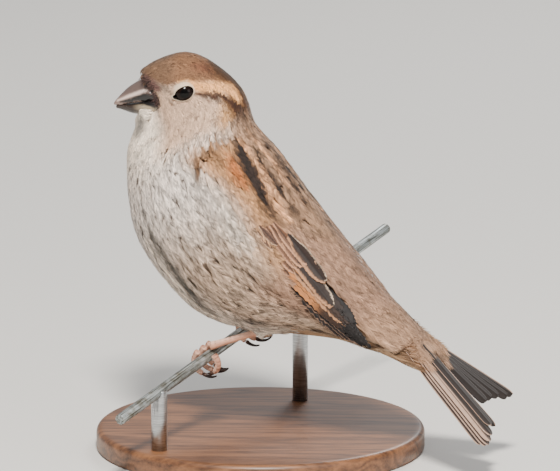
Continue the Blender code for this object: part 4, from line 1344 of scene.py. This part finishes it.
def makeMandible(name, node, upper):
    mesh = smoothCopy(name, node, 2)
    points = coordinates(mesh)
    offset = points - faceMiddle
    reach, height, side = offset @ faceAhead, offset @ faceRise, offset @ headLeft
    share = np.clip(reach / 9.0, 0.0, 1.0)
    # the sides run back along the face to the corner of the mouth
    root = np.clip(1.0 - reach / 4.5, 0.0, 1.0) ** 1.5
    back = np.interp(height, billReach["height"], billReach["back"]) * root
    half = "upper" if upper else "lower"
    wider = side * billFlare[half] * root
    points = points - back[:, None] * faceAhead + wider[:, None] * headLeft
    points = points + billFill[half] * normalsOf(mesh)
    if not upper:
        depth = ease(70.2, 68.9, headCoords(points)[2])
        lower = billFill["drop"] * np.clip(1.0 - reach / 7.5, 0.0, 1.0) * depth
        points = points - lower[:, None] * faceRise
    s, t, z = headCoords(points)
    if upper:
        shade = mix(billLook["side"], billLook["top"], ease(0.0, 1.6, height - 1.4 + 1.9 * share)[:, None])
        nostril = strokeMask(s, z, [(22.6, 74.1, 0.12), (22.1, 73.8, 0.12)], 0.3) * (np.abs(t) > 1.5)
        points = points - 0.3 * nostril[:, None] * normalsOf(mesh)
    else:
        shade = mix(billLook["lowerPale"], billLook["lowerTip"], ease(0.16, 0.46, share)[:, None])
    for paint, soft, path in billStrokes[upper]:
        shade = mix(shade, billLook[paint], strokeMask(s, z, path, soft)[:, None])
    if upper:
        # the nostril is darkened: painted shade in its hollow
        shade = mix(shade, billLook["dark"], 0.9 * nostril[:, None])
    movePoints(mesh, points)
    setColours(mesh, shade)
    return addPiece(name, mesh, billMaterial, "bill", node)


makeMandible("billUpper", "upper_mandible", True)
makeMandible("billLower", "lower_mandible", False)
print("bill")

# Bristles at the bill's root and the corner of the mouth

bristleRows = [                                 # along the face: head s and z, then how many stand there
    ((24.8, 78.6), (23.2, 77.0), 40), ((23.0, 77.4), (21.2, 75.0), 40), ((21.2, 75.0), (18.4, 71.8), 30),
    ((18.6, 71.6), (18.0, 69.4), 16),
]


def makeBristles():
    points, faces, colours, spots = [], [], [], []
    for start, end, count in bristleRows:
        for k in range(count * 2):
            side = 1.0 if k % 2 else -1.0
            share = dice.random()
            s0, z0 = mix(np.array(start), np.array(end), share) + dice.normal(0.0, 0.35, 2) - (0.35, 0.0)
            root = onCoat(headSpot(s0, side * 7.0, z0)[None])[0][0]
            long = dice.uniform(1.1, 2.3)
            way = unit(dice.uniform(0.5, 1.0) * headAhead - dice.uniform(-0.25, 0.9) * upward
                       + side * dice.uniform(0.02, 0.3) * headLeft)
            half = unit(np.cross(way, side * headLeft)) * 0.075
            shade = mix(paints["gapeAndShade"], paints["bristle"], dice.random() ** 2) * dice.uniform(0.8, 1.5)
            first = len(points)
            patch = skinSpots(root[None])[0]
            for step in range(4):
                t = step / 3.0
                spot = root - side * 0.25 * (1.0 - t) * headLeft + way * long * t - upward * 0.25 * t * t
                reach = 1.0 - t * 0.85
                points.extend([spot - half * reach, spot + half * reach])
                colours.extend([shade, shade])
                spots.extend([patch + (0.0, bakePatch * t), patch + (bakePatch / 3.0, bakePatch * t)])
                if step:
                    i = first + 2 * step
                    faces.extend([(i - 2, i - 1, i + 1), (i - 2, i + 1, i)])
    addCoat("coat_bristles", "plumage_head", *map(np.array, (points, faces, colours, spots)))


makeBristles()

# Feathered thighs, down to the heels

def makeThighs():
    grids, lengths, colours = [], [], []
    for sideName in ("left", "right"):
        thigh = coordinates(nodes["thigh_" + sideName].data)
        heel = heels[sideName == "right"]
        way = unit(heel - thigh.mean(0))
        first = unit(np.cross(way, upward))
        second = np.cross(way, first)
        count = 110
        turn = dice.uniform(0.0, 2.0 * math.pi, count)
        along = dice.uniform(0.0, 1.0, count)
        out = np.cos(turn)[:, None] * first + np.sin(turn)[:, None] * second
        start = heel - way * (8.0 - 6.6 * along)[:, None]
        wide = 3.1 - 1.9 * along
        step = np.linspace(0.0, 1.0, latticeSteps)[None, :, None]
        long = dice.uniform(3.6, 4.8, count)
        radius = wide[:, None, None] * (1.0 - 0.62 * step) + 0.45
        line = start[:, None] + way * long[:, None, None] * step + out[:, None] * radius
        runs = unit(np.gradient(line, axis=1))
        side = unit(np.cross(runs, np.broadcast_to(out[:, None], line.shape)))
        normal = np.cross(side, runs)
        normal = normal * np.sign((normal * out[:, None]).sum(-1, keepdims=True))
        grids.append([line - side * 0.85, line, line + side * 0.85, normal])
        lengths.append(long)
        colours.append(mix(paints["flank"], paints["mantle"], 0.35) * dice.normal(0.95, 0.1, (count, 1)))
    grids = [np.concatenate([grid[k] for grid in grids]) for k in range(4)]
    lengths, colours = np.concatenate(lengths), np.concatenate(colours)
    addCoat("coat_thighs", "plumage_body", *placeFeathers(
        "soft", grids, lengths, colours, colours, np.full(len(lengths), 0.4), skinSpots(grids[1][:, 0]),
        {"lift": 0.3, "contrast": 1.1}))


makeThighs()

# Legs, toes and claws

legPaints = {"skin": tone(214, 167, 143), "pale": tone(238, 203, 183), "groove": tone(124, 80, 60),
             "claw": tone(44, 33, 30), "clawRoot": tone(96, 70, 58), "scute": tone(172, 108, 76)}


hideMaterial, clawMaterial = (
    paintedMaterial(name, (500.0, 3000.0, 0.35, 0.35), bump=0.25, Roughness=roughness, Specular_IOR_Level=0.4)
    for name, roughness in (("scalyLeg", 0.5), ("hornClaw", 0.3)))


def refined(name, node, levels, material, slotName, paint):
    # a block node's own shape made finer, then painted
    mesh = smoothCopy(name, node, levels)
    points, normals = coordinates(mesh), normalsOf(mesh)
    colours, inward = paint(points, normals)
    movePoints(mesh, points - normals * inward[:, None])
    setColours(mesh, colours)
    return addPiece(name, mesh, material, slotName, node)


def pathShare(points, path):
    # how far along a path each point lies, in mm
    starts, steps = path[:-1], np.diff(path, axis=0)
    lengths = np.linalg.norm(steps, axis=1)
    before = np.concatenate([[0.0], np.cumsum(lengths)[:-1]])
    best, gap = np.zeros(len(points)), np.full(len(points), 1e9)
    for start, step, length, done in zip(starts, steps, lengths, before):
        t = np.clip(((points - start) @ step) / length**2, 0.0, 1.0)
        distance = np.linalg.norm(points - start - t[:, None] * step, axis=1)
        closer = distance < gap
        best = np.where(closer, done + t * length, best)
        gap = np.minimum(gap, distance)
    return best


def toePath(node):
    # the middle of a toe, as points in order round the wire
    points = coordinates(nodes[node].data)
    offset = points - wireSpot
    flat = offset - (offset @ wireAxis)[:, None] * wireAxis
    top = unit(upward - (upward @ wireAxis) * wireAxis)
    face = np.cross(wireAxis, top)
    turn = np.degrees(np.arctan2(flat @ face, flat @ top))
    turn = np.where(turn < -175.0, turn + 360.0, turn)
    bins = np.linspace(turn.min(), turn.max(), 10)
    groups = [points[(turn >= a - 0.5) & (turn <= b + 0.5)] for a, b in zip(bins, bins[1:])]
    return np.array([group.mean(0) for group in groups if len(group)])


def paintToe(node):
    path = toePath(node)

    def paint(points, normals):
        far = pathShare(points, path)
        offset = points - wireSpot
        flat = unit(offset - (offset @ wireAxis)[:, None] * wireAxis)
        outer = ease(-0.2, 0.5, (normals * flat).sum(1))          # 1 on the back of the toe, 0 on its pads
        phase = far / 1.05
        groove = np.exp(-((phase - np.round(phase)) / 0.13) ** 2)
        joint = np.exp(-(((far / 2.9) - np.round(far / 2.9)) / 0.10) ** 2)
        shade = mix(legPaints["pale"], legPaints["scute"], (0.25 + 0.4 * outer)[:, None])
        shade = mix(shade, legPaints["groove"], (0.85 * groove * outer)[:, None])
        inward = 0.09 * groove * outer + (1.0 - outer) * (0.14 * joint - 0.04) - 0.16
        return shade, inward
    return paint


def paintShank(sideName):
    bone = coordinates(nodes["tarsus_" + sideName].data)
    low = bone[bone[:, 2] < bone[:, 2].min() + 1.5].mean(0)
    heel = heels[sideName == "right"]
    way = unit(low - heel)

    def paint(points, normals):
        far = (points - heel) @ way
        front = normals @ unit(ahead - (ahead @ way) * way)
        phase = far / 1.55
        groove = np.exp(-((phase - np.round(phase)) / 0.09) ** 2) * ease(-0.5, 0.2, front)
        shade = mix(legPaints["skin"], legPaints["pale"], ease(-0.4, 0.8, front)[:, None])
        shade = mix(shade, legPaints["groove"], (0.75 * groove)[:, None])
        shade = mix(shade, legPaints["scute"], (0.5 * (1.0 - ease(0.5, 3.0, far)))[:, None])
        return shade, 0.07 * groove
    return paint


def paintClaw(toe):
    tip = coordinates(nodes[toe].data).mean(0)

    def paint(points, normals):
        far = np.linalg.norm(points - tip, axis=1)
        share = (far - far.min()) / (far.max() - far.min())
        shade = mix(legPaints["clawRoot"], legPaints["claw"], ease(0.0, 0.4, share)[:, None])
        return shade, np.full(len(points), -0.17) * (1.0 - 0.6 * share)
    return paint


for sideName in ("left", "right"):
    refined("shank_" + sideName, "tarsus_" + sideName, 2, hideMaterial, "leg", paintShank(sideName))
    for toe in ("inner", "middle", "outer", "hind"):
        node = toe + "_" + sideName
        refined("foot_" + node, "toe_" + node, 2, hideMaterial, "leg", paintToe("toe_" + node))
        refined("nail_" + node, "claw_" + node, 2, clawMaterial, "claw", paintClaw("toe_" + node))
print("legs")

# Perch wire and stand

def makeWireMaterial():
    material, tree, shader = newMaterial("galvanisedWire", Metallic=0.65, Roughness=0.5)
    where = addNode(tree, "ShaderNodeTexCoord").outputs["Object"]
    turned = addNode(tree, "ShaderNodeVectorMath", {0: where, 1: tuple(wireAxis)}, operation="DOT_PRODUCT")
    alongWire = addNode(tree, "ShaderNodeVectorMath", {0: tuple(wireAxis), "Scale": turned.outputs["Value"]},
                        operation="SCALE")
    acrossWire = addMath(tree, "SUBTRACT", where, alongWire.outputs[0], "VectorMath")
    slow = addNode(tree, "ShaderNodeVectorMath", {0: alongWire.outputs[0], "Scale": 0.045}, operation="SCALE")
    streaks = addNoise(tree, addMath(tree, "ADD", acrossWire, slow.outputs[0], "VectorMath"), 2600.0, 4.0)
    spangle = addNoise(tree, where, 420.0, 5.0)
    zinc = addRamp(tree, streaks, (0.36, tone(108, 110, 106)), (0.62, tone(196, 202, 203)))
    weather = addRamp(tree, spangle, (0.42, (1.0, 1.0, 1.0)), (0.70, tone(196, 186, 170)))
    blend = addNode(tree, "ShaderNodeMixRGB", {"Fac": 1.0, "Color1": zinc, "Color2": weather},
                    blend_type="MULTIPLY")
    tree.links.new(blend.outputs[0], shader.inputs["Base Color"])
    addBump(tree, shader, streaks, 0.35, 0.0001)
    return material


wireMaterial = makeWireMaterial()


def makeRod(name, start, end, radius, material, slotName, replaced, steps, rim):
    # a rod turned about its own axis, with softened rims
    way = unit(end - start)
    side = unit(np.cross(way, (0.31, 0.93, 0.17)))
    length = np.linalg.norm(end - start)
    profile = [(0.0, 0.0), (radius - rim, 0.0), (radius - 0.3 * rim, 0.3 * rim), (radius, rim)]
    profile += [(radius, length * k / steps) for k in range(1, steps)]
    profile += [(radius, length - rim), (radius - 0.3 * rim, length - 0.3 * rim), (radius - rim, length),
                (0.0, length)]
    work = bmesh.new()
    verts = [work.verts.new(Vector(start + side * r + way * h) * mm) for r, h in profile]
    edges = [work.edges.new(pair) for pair in zip(verts, verts[1:])]
    bmesh.ops.spin(work, geom=verts + edges, cent=Vector(start) * mm, axis=Vector(way), angle=2.0 * math.pi,
                   steps=40, use_merge=True)
    bmesh.ops.remove_doubles(work, verts=work.verts, dist=seam)
    bmesh.ops.recalc_face_normals(work, faces=work.faces)
    return addPiece(name, meshFrom(work, name), material, slotName, replaced)


def nodeEnds(name, axis):
    points = coordinates(nodes[name].data)
    far = points @ axis
    low, high = points[far < far.min() + 0.05].mean(0), points[far > far.max() - 0.05].mean(0)
    return low, high


low, high = nodeEnds("perch_wire", wireAxis)
makeRod("perchWire", low, high, wireRadius, wireMaterial, "wire", "perch_wire", steps=6, rim=0.3)

stand = {"baseRadius": 46.0, "baseHeight": 6.0, "rim": 1.6, "rodRadius": 2.2, "cup": 0.08}


def makeWood():
    material, tree, shader = newMaterial("oiledWalnut", Roughness=0.45, Coat_Weight=0.15, Coat_Roughness=0.3)
    where = addNode(tree, "ShaderNodeTexCoord").outputs["Object"]
    # the grain runs across the base: the space is squeezed along X before the noise
    squeeze = {"Vector": where, "Scale": (0.09, 1.0, 1.0), "Rotation": (0.0, 0.0, 0.3)}
    long = addNode(tree, "ShaderNodeMapping", squeeze).outputs[0]
    rings = addMath(tree, "PINGPONG", addMath(tree, "MULTIPLY", addNoise(tree, long, 55.0, 2.0), 26.0), 1.0)
    pores = addNoise(tree, long, 1500.0, 3.0)
    shade = addMath(tree, "ADD", pores, addMath(tree, "MULTIPLY", rings, 0.45))
    brown = addRamp(tree, shade, (0.35, tone(92, 62, 42)), (1.0, tone(152, 110, 78)))
    tree.links.new(brown, shader.inputs["Base Color"])
    addBump(tree, shader, pores, 0.25, 0.0002)
    return material


def makeMetal():
    material, tree, shader = newMaterial("brushedSteel", Metallic=1.0, Roughness=0.34)
    where = addNode(tree, "ShaderNodeTexCoord").outputs["Object"]
    # turned marks run round the rod
    flat = addNode(tree, "ShaderNodeMapping", {"Vector": where, "Scale": (0.06, 0.06, 1.0)})
    marks = addNoise(tree, flat.outputs[0], 5200.0, 3.0)
    grey = addRamp(tree, marks, (0.3, tone(168, 170, 172)), (0.7, tone(214, 215, 216)))
    tree.links.new(grey, shader.inputs["Base Color"])
    addBump(tree, shader, marks, 0.15, 0.00005)
    return material


def turnedSolid(profile, steps):
    # a profile of (radius, height) pairs turned about the upright axis, mm
    work = bmesh.new()
    verts = [work.verts.new((r * mm, 0.0, z * mm)) for r, z in profile]
    edges = [work.edges.new(pair) for pair in zip(verts, verts[1:])]
    bmesh.ops.spin(work, geom=verts + edges, cent=(0, 0, 0), axis=(0, 0, 1), angle=2.0 * math.pi, steps=steps,
                   use_merge=True)
    bmesh.ops.remove_doubles(work, verts=work.verts, dist=seam)
    bmesh.ops.recalc_face_normals(work, faces=work.faces)
    return work


def finishSolid(name, work, material, slotName, replaced):
    return addPiece(name, meshFrom(work, name), material, slotName, replaced)


def makeBase():
    radius, height, rim = stand["baseRadius"], stand["baseHeight"], stand["rim"]
    turn = np.linspace(0.0, 0.5 * math.pi, 7)
    profile = [(0.0, 0.0), (radius * 0.6, 0.0), (radius - 0.6, 0.0), (radius, 0.6)]
    profile += [(radius - rim + rim * math.cos(a), height - rim + rim * math.sin(a)) for a in turn]
    profile += [(radius - rim - 1.0, height), (radius * 0.6, height), (0.0, height)]
    finishSolid("standBase", turnedSolid(profile, 144), makeWood(), "stand_wood", "stand_base")


def makeStandRod(name, replaced, material):
    # a turned rod whose top is hollowed to cradle the wire
    points = coordinates(nodes[replaced].data)
    x, y = (points[:, 0].min() + points[:, 0].max()) / 2.0, (points[:, 1].min() + points[:, 1].max()) / 2.0
    bottom, top, radius = stand["baseHeight"], points[:, 2].max(), stand["rodRadius"]
    profile = [(0.0, bottom), (radius, bottom), (radius, (bottom + top) / 2.0), (radius, top - 2.0)]
    profile += [(radius, top - 0.3), (radius - 0.1, top - 0.08)]
    profile += [(radius * k / 12.0, top) for k in range(11, -1, -1)]
    work = turnedSolid(profile, 64)
    flatWay = wireAxis[:2] / np.linalg.norm(wireAxis[:2])
    for vert in work.verts:
        spot = np.array([vert.co.x / mm + x, vert.co.y / mm + y, vert.co.z / mm])
        along = (spot[:2] - wireSpot[:2]) @ flatWay
        across = (spot[:2] - wireSpot[:2]) @ (-flatWay[1], flatWay[0])
        axisHeight = wireSpot[2] + along * wireAxis[2] / np.linalg.norm(wireAxis[:2])
        room = wireRadius + stand["cup"]
        if spot[2] > top - 0.5 and abs(across) < room:
            spot[2] = min(spot[2], axisHeight - math.sqrt(room**2 - across**2))
        vert.co = Vector(spot) * mm
    finishSolid(name, work, material, "stand_metal", replaced)


makeBase()
steel = makeMetal()
makeStandRod("standRodFront", "stand_rod_1", steel)
makeStandRod("standRodRear", "stand_rod_2", steel)
print("stand")

# Floor, light and camera

studio = {"floorSize": 4.0, "floorColour": tone(226, 224, 220), "worldStrength": 0.42,
          "lookAt": (5.44, -1.10, 60.46), "frameWidth": 155.6, "distance": 1400.0, "elevation": 12.0}


def makeFloor():
    work = bmesh.new()
    bmesh.ops.create_grid(work, x_segments=1, y_segments=1, size=studio["floorSize"] / 2)
    mesh = meshFrom(work, "floor")
    floor = addObject("floor", mesh)
    material, _, shader = newMaterial("paleFloor", Roughness=0.7)
    shader.inputs["Base Color"].default_value = (*studio["floorColour"], 1.0)
    mesh.materials.append(material)


def makeLight(name, spot, target, size, power, colour=(1.0, 1.0, 1.0)):
    data = bpy.data.lights.new(name, "AREA")
    data.shape, data.size, data.energy, data.color = "DISK", size, power, colour
    light = addObject(name, data)
    light.location = spot
    light.rotation_euler = (Vector(target) - Vector(spot)).to_track_quat("-Z", "Y").to_euler()


makeFloor()
world = bpy.data.worlds.new("studio")
world.use_nodes = True
world.node_tree.nodes["Background"].inputs["Color"].default_value = (0.97, 0.98, 1.0, 1.0)
world.node_tree.nodes["Background"].inputs["Strength"].default_value = studio["worldStrength"]
bpy.context.scene.world = world
makeLight("key", (0.02, -0.80, 1.00), (0.0, 0.0, 0.05), 0.22, 29.0, (1.0, 0.96, 0.90))
makeLight("fill", (0.8, -0.7, 0.4), (0.0, 0.0, 0.05), 0.6, 2.0)
makeLight("back", (0.3, 0.9, 0.7), (0.0, 0.0, 0.06), 0.4, 5.0)

elevation = math.radians(studio["elevation"])
lookAt = Vector(studio["lookAt"]) * mm
backward = Vector((0.0, -math.cos(elevation), math.sin(elevation)))
cameraData = bpy.data.cameras.new("camera")
cameraData.sensor_width = 36.0
cameraData.lens = 36.0 * studio["distance"] / studio["frameWidth"]
cameraData.clip_end = 20.0
camera = addObject("camera", cameraData)
camera.location = lookAt + backward * studio["distance"] * mm
camera.rotation_euler = (-backward).to_track_quat("-Z", "Y").to_euler()
bpy.context.scene.camera = camera
